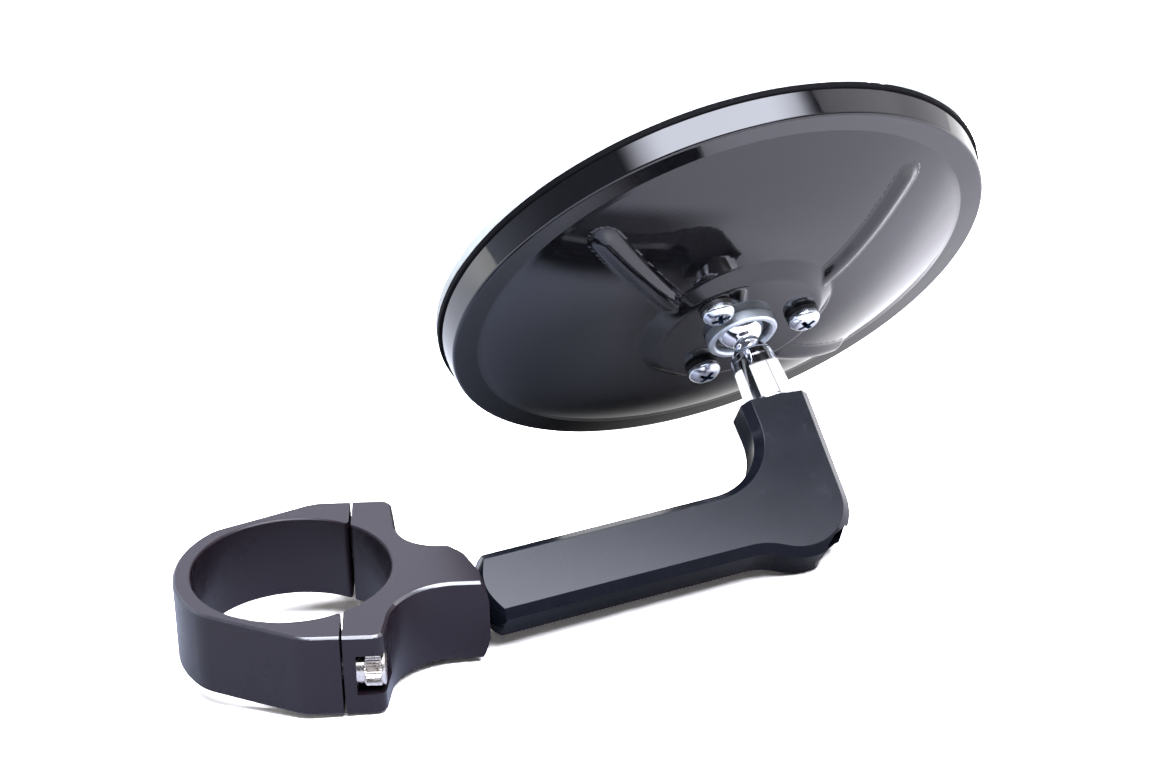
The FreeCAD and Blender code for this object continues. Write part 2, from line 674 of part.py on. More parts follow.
def shell_screw(angle):
    """Cross-recessed pan-head screw."""
    dome = [(PAN_HEAD_R, 1.0), (2.9, 1.9), (1.8, PAN_HEAD_HIGH)]
    head = turned([(0, 0), (PAN_HEAD_R, 0)] + dome + [(0, PAN_HEAD_HIGH)])
    shank = rod(M4_R - 0.02, -SHELL_SCREW_LENGTH, 0)
    wing = box((-CROSS_SPAN / 2, -CROSS_WIDTH / 2, CROSS_FLOOR_Z), (CROSS_SPAN / 2, CROSS_WIDTH / 2, PAST))
    quarter = FreeCAD.Placement(Vector(0, 0, 0), FreeCAD.Rotation(Vector(0, 0, 1), 90))
    screw = head.cut(wing).cut(placed(wing, quarter)).fuse(shank)
    seat = on_screw_circle(angle, BOSS_Z + SHELL_WASHER)
    return placed(screw, head_place.multiply(seat))


def shell_washer(angle):
    """Spring washer under a shell screw."""
    washer = lock_washer(SHELL_WASHER_HOLE_R, SHELL_WASHER_R, SHELL_WASHER)
    return placed(washer, head_place.multiply(on_screw_circle(angle, BOSS_Z)))


def glass_face(radius):
    """Drop of the domed glass from its middle to a radius."""
    return radius ** 2 / 2 / GLASS_CURVE_R


def domed_disc(radius, edge_z, thick, bevel):
    """Slightly domed disc: the rim of its rear face lies at edge_z, the dome points forwards."""
    drop = glass_face(radius)
    rear_ball = Part.makeSphere(GLASS_CURVE_R, Vector(0, 0, edge_z - drop + GLASS_CURVE_R))
    front_ball = Part.makeSphere(GLASS_CURVE_R, Vector(0, 0, edge_z - thick - drop + GLASS_CURVE_R))
    blank = rod(radius, edge_z - thick - 2 * drop - 1, edge_z + 5)
    disc = blank.common(front_ball).cut(rear_ball)
    if bevel:
        front_rim = [e for e in disc.Edges if abs(e.BoundBox.ZMax - (edge_z - thick)) < 0.01]
        disc = disc.makeChamfer(bevel, front_rim)
    return disc


def rim_gasket():
    """Rubber ring between the shell's rim and the glass."""
    bulge = 0.3
    profile = [
        (GASKET_INNER_R, RIM_Z), (GASKET_R - bulge, RIM_Z), (GASKET_R, RIM_Z - bulge),
        (GASKET_R, GLASS_Z + bulge), (GASKET_R - bulge, GLASS_Z), (GASKET_INNER_R, GLASS_Z)]
    return placed(turned(profile), head_place)


def foam_pad():
    """Foam ring that backs the glass inside the shell."""
    free = 0.3
    return placed(ring(FOAM_R, FOAM_INNER_R, GLASS_Z, FLANGE_Z - SHEET - free), head_place)


def silver_layer():
    """Reflecting layer on the back of the glass, under its paint."""
    return placed(domed_disc(GLASS_R - 0.3, GLASS_Z, SILVER, 0), head_place)


def mirror_glass():
    """Domed glass disc with a ground edge."""
    return placed(domed_disc(GLASS_R, GLASS_Z - SILVER, GLASS_THICK, 0.4), head_place)


# ---------------------------------------------------------------- write every node
def main():
    os.makedirs(OUT, exist_ok=True)
    export(clamp_body(), "clamp_body")
    export(clamp_strap(), "clamp_strap")
    for name, side in (("near", -1), ("far", 1)):
        washer_at = along(Vector(POCKET_X, side * SCREW_Y, MID_Z), Vector(1, 0, 0))
        screw_at = along(Vector(POCKET_X + LOCK_WASHER, side * SCREW_Y, MID_Z), Vector(1, 0, 0))
        screw = placed(cap_screw(M4_R, M4_HEAD_R, M4_HEAD_HIGH, M4_LENGTH, M4_KEY), screw_at)
        washer = lock_washer(M4_R + M4_SHAFT_GAP, M4_WASHER_R, LOCK_WASHER)
        export(placed(washer, washer_at), "clamp_washer_" + name)
        export(screw, "clamp_screw_" + name)
    export(swivel_bolt(), "swivel_bolt")
    export(disc_spring(), "swivel_disc_spring")
    export(swivel_washer(), "swivel_washer")
    export(swivel_insert(), "swivel_insert")
    export(arm(), "arm")
    export(ball_stud(), "ball_stud")
    export(stud_screw(), "stud_screw")
    export(stud_washer(), "stud_washer")
    export(ball_seat(), "ball_seat")
    export(socket_collar(), "socket_collar")
    export(pressure_cup(), "pressure_cup")
    export(wave_spring(), "socket_spring")
    export(socket_cap(), "socket_cap")
    export(back_shell(), "back_shell")
    for i, angle in enumerate(SCREW_ANGLES, 1):
        export(shell_screw(angle), "shell_screw_%d" % i)
        export(shell_washer(angle), "shell_washer_%d" % i)
    export(rim_gasket(), "rim_gasket")
    export(foam_pad(), "foam_pad")
    export(silver_layer(), "silver_layer")
    export(mirror_glass(), "mirror_glass")
    print("ball centre", [round(c, 3) for c in ball_centre])
    print("head axes", [[round(c, 5) for c in v] for v in (head_x, head_y, head_z)])
    print("arm axes", [[round(c, 5) for c in v] for v in (arm_axis, leg_side, broad_normal)])


main()
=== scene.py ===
import json
from math import acos, atan2, ceil, cos, degrees, pi, radians, sin, sqrt, tan, tau

import bmesh
import bpy
import numpy as np
from mathutils import Matrix, Vector


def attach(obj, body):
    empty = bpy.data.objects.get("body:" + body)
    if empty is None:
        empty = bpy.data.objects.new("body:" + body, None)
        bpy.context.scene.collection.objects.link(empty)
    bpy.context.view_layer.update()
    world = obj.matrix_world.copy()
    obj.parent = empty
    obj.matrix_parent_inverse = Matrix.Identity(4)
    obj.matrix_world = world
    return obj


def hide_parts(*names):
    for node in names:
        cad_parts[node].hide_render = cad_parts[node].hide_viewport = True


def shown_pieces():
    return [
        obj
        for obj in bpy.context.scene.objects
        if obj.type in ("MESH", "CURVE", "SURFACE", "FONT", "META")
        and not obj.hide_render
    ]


# Looks of the clamp-on mirror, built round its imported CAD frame.
# Lengths of the mirror are in millimetres here, and MM turns them into metres.
# The table, the light and the camera are placed in metres.

MM = 0.001

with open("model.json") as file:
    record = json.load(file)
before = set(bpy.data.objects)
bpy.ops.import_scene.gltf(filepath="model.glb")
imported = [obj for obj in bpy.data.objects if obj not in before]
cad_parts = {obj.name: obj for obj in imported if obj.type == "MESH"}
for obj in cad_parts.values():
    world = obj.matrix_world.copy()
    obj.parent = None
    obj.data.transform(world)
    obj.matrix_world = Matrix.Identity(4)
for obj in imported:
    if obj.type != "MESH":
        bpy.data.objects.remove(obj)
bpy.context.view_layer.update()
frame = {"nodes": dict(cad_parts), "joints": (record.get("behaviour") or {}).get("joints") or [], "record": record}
joints = {joint["name"]: joint for joint in frame["joints"]}
UP = Vector((0, 0, 1))


# ---------------------------------------------------------------- local frames
class Axes:
    """A right-handed local frame: where its origin is, in millimetres, and its three axes."""

    def __init__(self, origin, x, y, z):
        self.origin, self.x, self.y, self.z = Vector(origin), Vector(x), Vector(y), Vector(z)

    def at(self, x, y, z):
        """The same axes with the origin moved within the frame."""
        return Axes(self.origin + self.x * x + self.y * y + self.z * z, self.x, self.y, self.z)

    def turned(self, angle):
        """The same frame turned about its own z."""
        x = self.x * cos(angle) + self.y * sin(angle)
        return Axes(self.origin, x, self.z.cross(x), self.z)

    def to_world(self, points):
        """Local millimetres to metres in the part's frame."""
        basis = np.array([self.x, self.y, self.z])
        return (np.asarray(points, float) @ basis + np.array(self.origin)) * MM


def axes_along(origin, z, hint=UP):
    """A frame whose z runs along a direction."""
    z = Vector(z).normalized()
    if abs(z.dot(hint)) > 0.95:
        hint = Vector((1, 0, 0))
    x = hint.cross(z).normalized()
    return Axes(origin, x, z.cross(x), z)


def joint_point(name):
    return Vector(joints[name]["pos_m"]) / MM


def joint_axis(name):
    return Vector(joints[name]["axis"]).normalized()


# the mirror head: z leaves the ball rearwards, x lies level
head_z = joint_axis("head_spin")
head_x = joint_axis("head_tilt")
head = Axes(joint_point("head_spin"), head_x, head_z.cross(head_x), head_z)

# the arm: x along the long leg, y towards the short leg's end, z out of the broad face
ARM_ROLL = radians(57.4)
LEG_LEAN = radians(2.5)
BALL_RISE = 21.5
arm_x = joint_axis("arm_swivel")
arm_side = Vector((arm_x.y, -arm_x.x, 0))
arm = Axes(
    joint_point("arm_swivel"), arm_x,
    arm_side * -sin(ARM_ROLL) + UP * cos(ARM_ROLL),
    arm_side * cos(ARM_ROLL) + UP * sin(ARM_ROLL))
stem_way = arm.x * sin(LEG_LEAN) + arm.y * cos(LEG_LEAN)
stem = axes_along(head.origin - stem_way * BALL_RISE, stem_way, arm.z)


# ---------------------------------------------------------------- outlines
MOST_OF_RUN = 0.48        # share of a run that an arc may take


def softened_line(corners, step=radians(9)):
    """Outline from (a, b, radius) corners, with each corner turned into an arc of its radius.

    An arc takes up less than half of the runs beside it, and a corner that hardly turns has none."""
    points = []
    last = len(corners) - 1
    for i, (a, b, radius) in enumerate(corners):
        here = Vector((a, b))
        if radius == 0 or i in (0, last):
            points.append(here)
            continue
        into = here - Vector(corners[i - 1][:2])
        out = Vector(corners[i + 1][:2]) - here
        turn = acos(max(-1, min(1, into.normalized().dot(out.normalized()))))
        if turn < radians(1):
            points.append(here)
            continue
        reach = min(radius * tan(turn / 2), MOST_OF_RUN * into.length, MOST_OF_RUN * out.length)
        start, end = here - into.normalized() * reach, here + out.normalized() * reach
        count = max(2, ceil(turn / step))
        for k in range(count + 1):
            t = k / count
            points.append(start * (1 - t) ** 2 + here * (2 * t * (1 - t)) + end * t ** 2)
    return [(p.x, p.y) for p in points]


def arc(radius, first, last, count, centre=0.0):
    """Points (r, z) of a circle with its centre on the axis, angles in degrees from +z."""
    angles = [radians(first + (last - first) * i / count) for i in range(count + 1)]
    return [(radius * sin(a), centre + radius * cos(a)) for a in angles]


# ---------------------------------------------------------------- meshes
def new_piece(name, verts, faces, materials, normals=None):
    """Smooth-shaded object from vertices in metres, with its own vertex normals if given."""
    mesh = bpy.data.meshes.new(name)
    mesh.from_pydata([tuple(v) for v in verts], [], faces)
    mesh.update()
    mesh.polygons.foreach_set("use_smooth", [True] * len(mesh.polygons))
    for material in materials:
        mesh.materials.append(material)
    if normals is not None:
        mesh.normals_split_custom_set_from_vertices(normals)
    piece = bpy.data.objects.new(name, mesh)
    bpy.context.scene.collection.objects.link(piece)
    return piece


def add_to_frame(piece, body, slot, *nodes):
    """Rides the piece on its body, in place of the CAD nodes it stands for."""
    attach(piece, body)
    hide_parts(*nodes)
    return piece


def crisp(piece, angle=30):
    """Keeps flat faces flat and edges above the angle sharp."""
    piece.data.set_sharp_from_angle(angle=radians(angle))
    weighted = piece.modifiers.new("flat faces", "WEIGHTED_NORMAL")
    weighted.keep_sharp = True
    return piece


def lathe_mesh(outline, steps, closed, shape=None):
    """Rings of a turned outline: vertices in local millimetres, and faces.

    shape(r, z, angle) may return a changed radius and height, as for a knurl."""
    verts, faces, rings = [], [], []
    for r, z in outline:
        if r < 1e-6:
            rings.append([len(verts)])
            verts.append((0, 0, z))
            continue
        rings.append(list(range(len(verts), len(verts) + steps)))
        for k in range(steps):
            a = tau * k / steps
            radius, height = shape(r, z, a) if shape else (r, z)
            verts.append((radius * cos(a), radius * sin(a), height))
    pairs = list(zip(rings, rings[1:]))
    if closed:
        pairs.append((rings[-1], rings[0]))
    for low, high in pairs:
        for k in range(steps):
            n = (k + 1) % steps
            if len(low) == 1:
                faces.append((low[0], high[n], high[k]))
            elif len(high) == 1:
                faces.append((low[k], low[n], high[0]))
            else:
                faces.append((low[k], low[n], high[n], high[k]))
    return verts, faces


def lathe(name, outline, axes, materials, steps=160, closed=False, shape=None):
    """Turned piece. Its outline goes up the outside, and a closed one comes back down the inside."""
    verts, faces = lathe_mesh(outline, steps, closed, shape)
    return new_piece(name, axes.to_world(verts), faces, materials)


def prism(name, points, low, high, axes):
    """Upright prism over a plan, used to cut with."""
    n = len(points)
    verts = [(x, y, low) for x, y in points] + [(x, y, high) for x, y in points]
    faces = [tuple(reversed(range(n))), tuple(range(n, 2 * n))]
    faces += [(i, (i + 1) % n, n + (i + 1) % n, n + i) for i in range(n)]
    return new_piece(name, axes.to_world(verts), faces, [])


def cut(piece, cutter):
    """Takes the cutter's shape out of the piece for good, and removes the cutter."""
    boolean = piece.modifiers.new("cut", "BOOLEAN")
    boolean.operation = "DIFFERENCE"
    boolean.solver = "EXACT"
    boolean.object = cutter
    boolean.material_mode = "TRANSFER"
    bake(piece)
    bpy.data.objects.remove(cutter)


def bake(piece):
    """Applies the modifiers."""
    graph = bpy.context.evaluated_depsgraph_get()
    done = bpy.data.meshes.new_from_object(piece.evaluated_get(graph))
    piece.modifiers.clear()
    piece.data = done


def soft_edges(piece, width, segments=2, angle=28):
    """Rounds the piece's sharp edges by a width in millimetres."""
    bevel = piece.modifiers.new("soft edges", "BEVEL")
    bevel.width = width * MM
    bevel.segments = segments
    bevel.limit_method = "ANGLE"
    bevel.angle_limit = radians(angle)
    bevel.use_clamp_overlap = True
    bevel.harden_normals = False
    return piece


WELD = 2e-6               # metres between vertices that are one
FLAT = radians(0.6)       # most that two facets of one flat face differ


def softened(node, body, slot, width, segments, materials, choose):
    """Copy of a CAD node with clean faces and softly broken edges, in the node's place.

    choose(face) picks the material of each face."""
    source = frame["nodes"][node]
    bm = bmesh.new()
    bm.from_mesh(source.data)
    bmesh.ops.remove_doubles(bm, verts=bm.verts, dist=WELD)
    bmesh.ops.dissolve_limit(bm, angle_limit=FLAT, verts=bm.verts, edges=bm.edges)
    mesh = bpy.data.meshes.new(node + "_soft")
    bm.to_mesh(mesh)
    bm.free()
    for kept_shading in ("custom_normal", "sharp_edge"):
        if kept_shading in mesh.attributes:
            mesh.attributes.remove(mesh.attributes[kept_shading])
    mesh.polygons.foreach_set("use_smooth", [True] * len(mesh.polygons))
    mesh.materials.clear()
    for material in materials:
        mesh.materials.append(material)
    piece = bpy.data.objects.new(node + "_soft", mesh)
    bpy.context.scene.collection.objects.link(piece)
    soft_edges(piece, width, segments)
    bake(piece)
    for face in piece.data.polygons:
        face.material_index = choose(face)
    crisp(piece, 40)
    return add_to_frame(piece, body, slot, node)


# ---------------------------------------------------------------- materials
class Shader:
    """A material's node tree, with short calls to fill it."""

    def __init__(self, name, world=None):
        self.material = world or bpy.data.materials.new(name)
        self.material.use_nodes = True
        self.tree = self.material.node_tree
        self.tree.nodes.clear()
        self.place = self.node("TexCoord").outputs["Generated" if world else "Object"]

    def node(self, kind, settings=None, **sockets):
        made = self.tree.nodes.new("ShaderNode" + kind)
        for key, value in (settings or {}).items():
            setattr(made, key, value)
        for key, value in sockets.items():
            self.put(made.inputs[key.replace("_", " ")], value)
        return made

    def put(self, socket, value):
        """Gives a socket another socket to follow, or a constant."""
        if isinstance(value, bpy.types.NodeSocket):
            self.tree.links.new(value, socket)
        elif isinstance(value, (tuple, list)) and socket.type == "RGBA" and len(value) == 3:
            socket.default_value = (*value, 1)
        else:
            socket.default_value = value

    def math(self, operation, a, b=0.0, c=0.0, clamp=False):
        made = self.node("Math", {"operation": operation, "use_clamp": clamp})
        for socket, value in zip(made.inputs, (a, b, c)):
            self.put(socket, value)
        return made.outputs[0]

    def vector(self, operation, a, b=(0, 0, 0)):
        made = self.node("VectorMath", {"operation": operation})
        self.put(made.inputs[0], a)
        self.put(made.inputs[1], b)
        return made.outputs["Value" if operation in ("DOT_PRODUCT", "LENGTH") else "Vector"]

    def local(self, axes, stretch=(1, 1, 1)):
        """Position in a local frame, in millimetres, each axis divided by its stretch."""
        from_origin = self.shifted(axes)
        parts = [
            self.math("DIVIDE", self.vector("DOT_PRODUCT", from_origin, tuple(way)), grain)
            for way, grain in zip((axes.x, axes.y, axes.z), stretch)]
        return self.node("CombineXYZ", X=parts[0], Y=parts[1], Z=parts[2]).outputs[0]

    def shifted(self, axes):
        """Position from a frame's origin, in millimetres along the part's own axes."""
        scaled = self.node("VectorMath", {"operation": "SCALE"})
        self.put(scaled.inputs[0], self.place)
        scaled.inputs["Scale"].default_value = 1 / MM
        return self.vector("SUBTRACT", scaled.outputs[0], tuple(axes.origin))

    def polar(self, axes, turn_grain, radius_grain, height_grain):
        """(angle, radius, height) about a frame's z, for marks left by turning or rolling."""
        flat = self.local(axes)
        split = self.node("SeparateXYZ", Vector=flat)
        angle = self.math("ARCTAN2", split.outputs["Y"], split.outputs["X"])
        level = self.node("CombineXYZ", X=split.outputs["X"], Y=split.outputs["Y"]).outputs[0]
        radius = self.vector("LENGTH", level)
        return self.node(
            "CombineXYZ", X=self.math("DIVIDE", angle, turn_grain),
            Y=self.math("DIVIDE", radius, radius_grain),
            Z=self.math("DIVIDE", split.outputs["Z"], height_grain)).outputs[0]

    def noise(self, vector, scale, detail=2.0, roughness=0.5, distortion=0.0):
        return self.node(
            "TexNoise", Vector=vector, Scale=scale, Detail=detail, Roughness=roughness,
            Distortion=distortion).outputs["Fac"]

    def spots(self, vector, scale, size):
        """Scattered dots, 1 inside a dot and 0 elsewhere."""
        cells = self.node("TexVoronoi", {"feature": "F1"}, Vector=vector, Scale=scale, Randomness=1.0)
        keep = self.node("SeparateColor", Color=cells.outputs["Color"]).outputs[0]
        radius = self.math("MULTIPLY", self.math("SUBTRACT", keep, 0.55, clamp=True), size)
        return self.math("LESS_THAN", cells.outputs["Distance"], radius)

    def ramp(self, value, low, high, to_low=0.0, to_high=1.0, smooth=True):
        """Takes low to to_low and high to to_high, and stays level past them."""
        return self.node(
            "MapRange", {"interpolation_type": "SMOOTHSTEP" if smooth else "LINEAR"}, Value=value,
            From_Min=low, From_Max=high, To_Min=to_low, To_Max=to_high).outputs["Result"]

    def mix(self, factor, a, b):
        made = self.node("Mix", {"data_type": "RGBA"})
        self.put(made.inputs["Factor"], factor)
        self.put(made.inputs["A"], a)
        self.put(made.inputs["B"], b)
        return made.outputs["Result"]

    def bump(self, height, distance, strength=1.0, normal=None):
        """Bump whose height of 0 to 1 is worth a distance in millimetres."""
        made = self.node("Bump", Height=height, Distance=distance * MM, Strength=strength)
        if normal is not None:
            self.put(made.inputs["Normal"], normal)
        return made.outputs[0]

    def finish(self, **sockets):
        """Principled surface with the given sockets, and the finished material."""
        shader = self.node("BsdfPrincipled", **sockets)
        output = self.node("OutputMaterial")
        self.tree.links.new(shader.outputs[0], output.inputs["Surface"])
        return self.material


part_axes = Axes((0, 0, 0), (1, 0, 0), (0, 1, 0), (0, 0, 1))


def anodised_black():
    """Milled, satin black anodised aluminium of the clamp, with a little dust."""
    s = Shader("clamp_black")
    near = s.local(part_axes)
    lines = s.noise(s.local(part_axes, (9.0, 0.16, 0.16)), 1.0, 2.0, 0.6)
    fine = s.noise(near, 9.0, 3.0, 0.6)
    cloud = s.noise(near, 0.06, 2.0, 0.5)
    dust = s.spots(near, 0.9, 0.14)
    colour = s.mix(cloud, (0.009, 0.005, 0.008), (0.014, 0.009, 0.013))
    colour = s.mix(s.math("MULTIPLY", dust, 0.3), colour, (0.22, 0.22, 0.23))
    rough = s.math("ADD", s.ramp(cloud, 0.3, 0.7, 0.25, 0.29), s.math("MULTIPLY", fine, 0.03))
    bump = s.bump(lines, 0.0012, 0.5)
    bump = s.bump(fine, 0.0008, 0.5, bump)
    return s.finish(Base_Color=colour, Roughness=rough, Normal=bump, IOR=1.36)


def painted_gap_shade():
    """Sawn walls of the clamping gap, with saw marks, coloured darker and duller than the clamp: painted shade of
    the narrow gap.
    """
    s = Shader("clamp_gap_walls")
    saw = s.noise(s.local(part_axes, (0.2, 6.0, 0.2)), 1.0, 2.0, 0.6)
    colour = s.mix(saw, (0.003, 0.003, 0.004), (0.006, 0.006, 0.007))
    rough = s.ramp(saw, 0.3, 0.7, 0.75, 0.9)
    return s.finish(Base_Color=colour, Roughness=rough, Normal=s.bump(saw, 0.01, 0.5), IOR=1.1)


def painted_highlight_break():
    """The clamp's machined edge breaks, in a brighter and glossier copy of the clamp's black: painted highlight.
    """
    s = Shader("clamp_edge_painted_highlight")
    near = s.local(part_axes)
    cloud = s.noise(near, 0.35, 3.0, 0.6)
    fine = s.noise(near, 8.0, 3.0, 0.6)
    colour = s.mix(cloud, (0.020, 0.019, 0.024), (0.034, 0.032, 0.038))
    rough = s.ramp(fine, 0.3, 0.7, 0.20, 0.27)
    return s.finish(Base_Color=colour, Roughness=rough, Normal=s.bump(fine, 0.002, 0.5), IOR=1.9)


def satin_arm(name="arm_black", glint=1.35):
    """Brushed satin black anodised aluminium of the arm, with finger smudges. Its copies with a raised or lowered
    glint carry a painted highlight and painted shade.
    """
    s = Shader(name)
    near = s.local(arm)
    brush = s.noise(s.local(arm, (0.22, 14.0, 14.0)), 1.0, 3.0, 0.65)
    fine = s.noise(near, 11.0, 2.0, 0.6)
    cloud = s.noise(near, 0.11, 3.0, 0.55)
    smudge = s.ramp(s.noise(near, 0.24, 5.0, 0.7, 0.6), 0.5, 0.85)
    colour = s.mix(cloud, (0.004, 0.005, 0.008), (0.006, 0.007, 0.011))
    colour = s.mix(s.math("MULTIPLY", smudge, 0.12), colour, (0.035, 0.037, 0.042))
    rough = s.math("ADD", s.ramp(cloud, 0.3, 0.7, 0.155, 0.175), s.math("MULTIPLY", smudge, 0.04))
    rough = s.math("ADD", rough, s.math("MULTIPLY", brush, 0.02))
    bump = s.bump(brush, 0.0015, 0.5)
    bump = s.bump(fine, 0.001, 0.5, bump)
    return s.finish(Base_Color=colour, Roughness=rough, Normal=bump, IOR=glint)


def gloss_shell():
    """Gloss black stove enamel over pressed steel."""
    s = Shader("shell_black")
    near = s.local(head)
    wave = s.noise(near, 0.05, 2.0, 0.5)
    peel = s.noise(near, 1.1, 2.0, 0.5)
    dust = s.spots(near, 0.55, 0.10)
    haze = s.noise(near, 0.3, 4.0, 0.6)
    colour = s.mix(haze, (0.003, 0.003, 0.004), (0.005, 0.005, 0.006))
    colour = s.mix(s.math("MULTIPLY", dust, 0.4), colour, (0.2, 0.2, 0.2))
    rough = s.ramp(haze, 0.3, 0.75, 0.04, 0.08)
    bump = s.bump(wave, 0.25, 0.35)
    bump = s.bump(peel, 0.0012, 0.5, bump)
    return s.finish(Base_Color=colour, Roughness=rough, Normal=bump, IOR=1.52)


def bright_chrome():
    """Polished chrome of the ball stud, with faint turning marks under the plating."""
    s = Shader("bright_chrome")
    turning = s.noise(s.polar(stem, 3.0, 0.3, 0.12), 1.0, 3.0, 0.6)
    haze = s.noise(s.local(stem), 0.5, 4.0, 0.6)
    colour = s.mix(haze, (0.80, 0.82, 0.86), (0.88, 0.89, 0.91))
    rough = s.ramp(haze, 0.3, 0.75, 0.035, 0.08)
    return s.finish(
        Base_Color=colour, Metallic=1.0, Roughness=rough, Normal=s.bump(turning, 0.0015, 0.4))


def zinc(name, axes, tint=(0.70, 0.74, 0.80), smooth=0.16, dull=0.28):
    """Bright zinc plating with a blue passivate, over turned or pressed steel."""
    s = Shader(name)
    near = s.local(axes)
    turning = s.noise(s.polar(axes, 2.0, 0.10, 0.10), 1.0, 3.0, 0.6)
    cloud = s.noise(near, 0.5, 4.0, 0.6)
    grey = tuple(c * 0.82 for c in tint)
    colour = s.mix(cloud, grey, tint)
    rough = s.ramp(cloud, 0.3, 0.75, smooth, dull)
    bump = s.bump(turning, 0.004, 0.5)
    bump = s.bump(s.noise(near, 7.0, 3.0, 0.6), 0.003, 0.5, bump)
    return s.finish(Base_Color=colour, Metallic=1.0, Roughness=rough, Normal=bump)


def nickel():
    """Satin nickel plating of the clamp screws, duller in places."""
    s = Shader("nickel_steel")
    near = s.local(part_axes)
    cloud = s.noise(near, 0.9, 4.0, 0.65)
    colour = s.mix(cloud, (0.50, 0.45, 0.40), (0.70, 0.65, 0.60))
    rough = s.ramp(cloud, 0.3, 0.75, 0.22, 0.36)
    bump = s.bump(s.noise(near, 8.0, 3.0, 0.6), 0.004, 0.6)
    return s.finish(Base_Color=colour, Metallic=1.0, Roughness=rough, Normal=bump)


def black_oxide():
    """Oiled black oxide on the springs and hidden screws."""
    s = Shader("dark_steel")
    near = s.local(part_axes)
    cloud = s.noise(near, 0.7, 4.0, 0.6)
    colour = s.mix(cloud, (0.016, 0.016, 0.018), (0.045, 0.044, 0.046))
    rough = s.ramp(cloud, 0.3, 0.75, 0.28, 0.46)
    bump = s.bump(s.noise(near, 6.0, 3.0, 0.6), 0.005, 0.6)
    return s.finish(Base_Color=colour, Metallic=0.6, Roughness=rough, Normal=bump)


def plastic():
    """Moulded black acetal of the bearings."""
    s = Shader("bearing_plastic")
    near = s.local(part_axes)
    cloud = s.noise(near, 0.6, 3.0, 0.55)
    colour = s.mix(cloud, (0.020, 0.020, 0.021), (0.034, 0.034, 0.035))
    rough = s.ramp(cloud, 0.3, 0.75, 0.36, 0.5)
    bump = s.bump(s.noise(near, 5.0, 2.0, 0.5), 0.006, 0.6)
    return s.finish(Base_Color=colour, Roughness=rough, Normal=bump, IOR=1.48)


def rubber():
    """Matte rubber of the rim gasket, scuffed here and there."""
    s = Shader("gasket_rubber")
    near = s.local(head)
    cloud = s.noise(near, 0.4, 4.0, 0.6)
    scuff = s.ramp(s.noise(near, 1.6, 5.0, 0.7), 0.62, 0.78)
    colour = s.mix(cloud, (0.002, 0.002, 0.0025), (0.004, 0.004, 0.005))
    colour = s.mix(s.math("MULTIPLY", scuff, 0.1), colour, (0.03, 0.03, 0.03))
    rough = s.ramp(cloud, 0.3, 0.75, 0.6, 0.75)
    bump = s.bump(s.noise(near, 4.0, 4.0, 0.65), 0.01, 0.6)
    return s.finish(Base_Color=colour, Roughness=rough, Normal=bump, IOR=1.15)


def cell_foam():
    """Dark closed-cell foam behind the glass."""
    s = Shader("foam")
    near = s.local(head)
    cells = s.node("TexVoronoi", {"feature": "SMOOTH_F1"}, Vector=near, Scale=2.2)
    colour = s.mix(cells.outputs["Distance"], (0.05, 0.05, 0.055), (0.10, 0.10, 0.105))
    rough = s.ramp(s.noise(near, 1.0, 3.0), 0.3, 0.7, 0.85, 0.97)
    return s.finish(
        Base_Color=colour, Roughness=rough, Normal=s.bump(cells.outputs["Distance"], 0.15, 0.8))


def silvering():
    """Silvered back of the mirror glass."""
    s = Shader("mirror_silver")
    near = s.local(head)
    tint = s.noise(near, 0.05, 2.0)
    colour = s.mix(tint, (0.90, 0.92, 0.93), (0.93, 0.94, 0.95))
    rough = s.ramp(s.noise(near, 0.6, 3.0), 0.3, 0.75, 0.0, 0.012)
    return s.finish(Base_Color=colour, Metallic=1.0, Roughness=rough)


def clear_glass():
    """Polished faces of the mirror glass, with a little dust."""
    s = Shader("clear_glass")
    near = s.local(head)
    dust = s.math("MULTIPLY", s.spots(near, 0.4, 0.06), 0.5)
    colour = s.mix(dust, (0.96, 0.99, 0.98), (0.6, 0.6, 0.6))
    rough = s.ramp(s.noise(near, 0.25, 4.0, 0.6), 0.5, 0.9, 0.0, 0.02)
    return s.finish(
        Base_Color=colour, Roughness=rough, IOR=1.52, **{"Transmission_Weight": 1.0})


def ground_edge():
    """Ground edge of the mirror glass."""
    s = Shader("glass_ground_edge")
    near = s.local(head)
    grind = s.noise(s.polar(head, 0.02, 1.0, 0.08), 1.0, 3.0, 0.7)
    cloud = s.noise(near, 0.5, 3.0, 0.6)
    colour = s.mix(cloud, (0.42, 0.47, 0.46), (0.60, 0.64, 0.63))
    rough = s.ramp(grind, 0.3, 0.7, 0.35, 0.6)
    return s.finish(Base_Color=colour, Roughness=rough, IOR=1.5, Normal=s.bump(grind, 0.01, 0.6))


looks = {
    "clamp_black": anodised_black(),
    "arm_black": satin_arm(),
    "shell_black": gloss_shell(),
    "bright_chrome": bright_chrome(),
    "zinc_steel": zinc("zinc_steel", head),
    "nickel_steel": nickel(),
    "dark_steel": black_oxide(),
    "bearing_plastic": plastic(),
    "gasket_rubber": rubber(),
    "foam": cell_foam(),
    "mirror_silver": silvering(),
    "clear_glass": clear_glass(),
}
collar_look = zinc("collar_zinc", head, (0.66, 0.72, 0.76), 0.38, 0.48)
# dark zinc for the screws' cross recesses: painted shade
recess_painted_shade = zinc("recess_zinc_painted_shade", head, (0.10, 0.17, 0.26), 0.25, 0.35)
# the clamp's edge breaks get a painted highlight and its gap walls painted shade
clamp_looks = [looks["clamp_black"], painted_highlight_break(), painted_gap_shade()]
# glossier copy of the arm's finish as painted highlight on its inner edge, duller copy as painted shade on its
# underside
arm_looks = [looks["arm_black"], satin_arm("arm_edge_painted_highlight", 1.6), satin_arm("arm_underside_painted_shade", 1.13)]
edge_look = ground_edge()

for part in frame["record"]["subparts"]:
    node = frame["nodes"][part["node"]]
    node.data.materials.clear()
    node.data.materials.append(looks[part["material_slot"]])


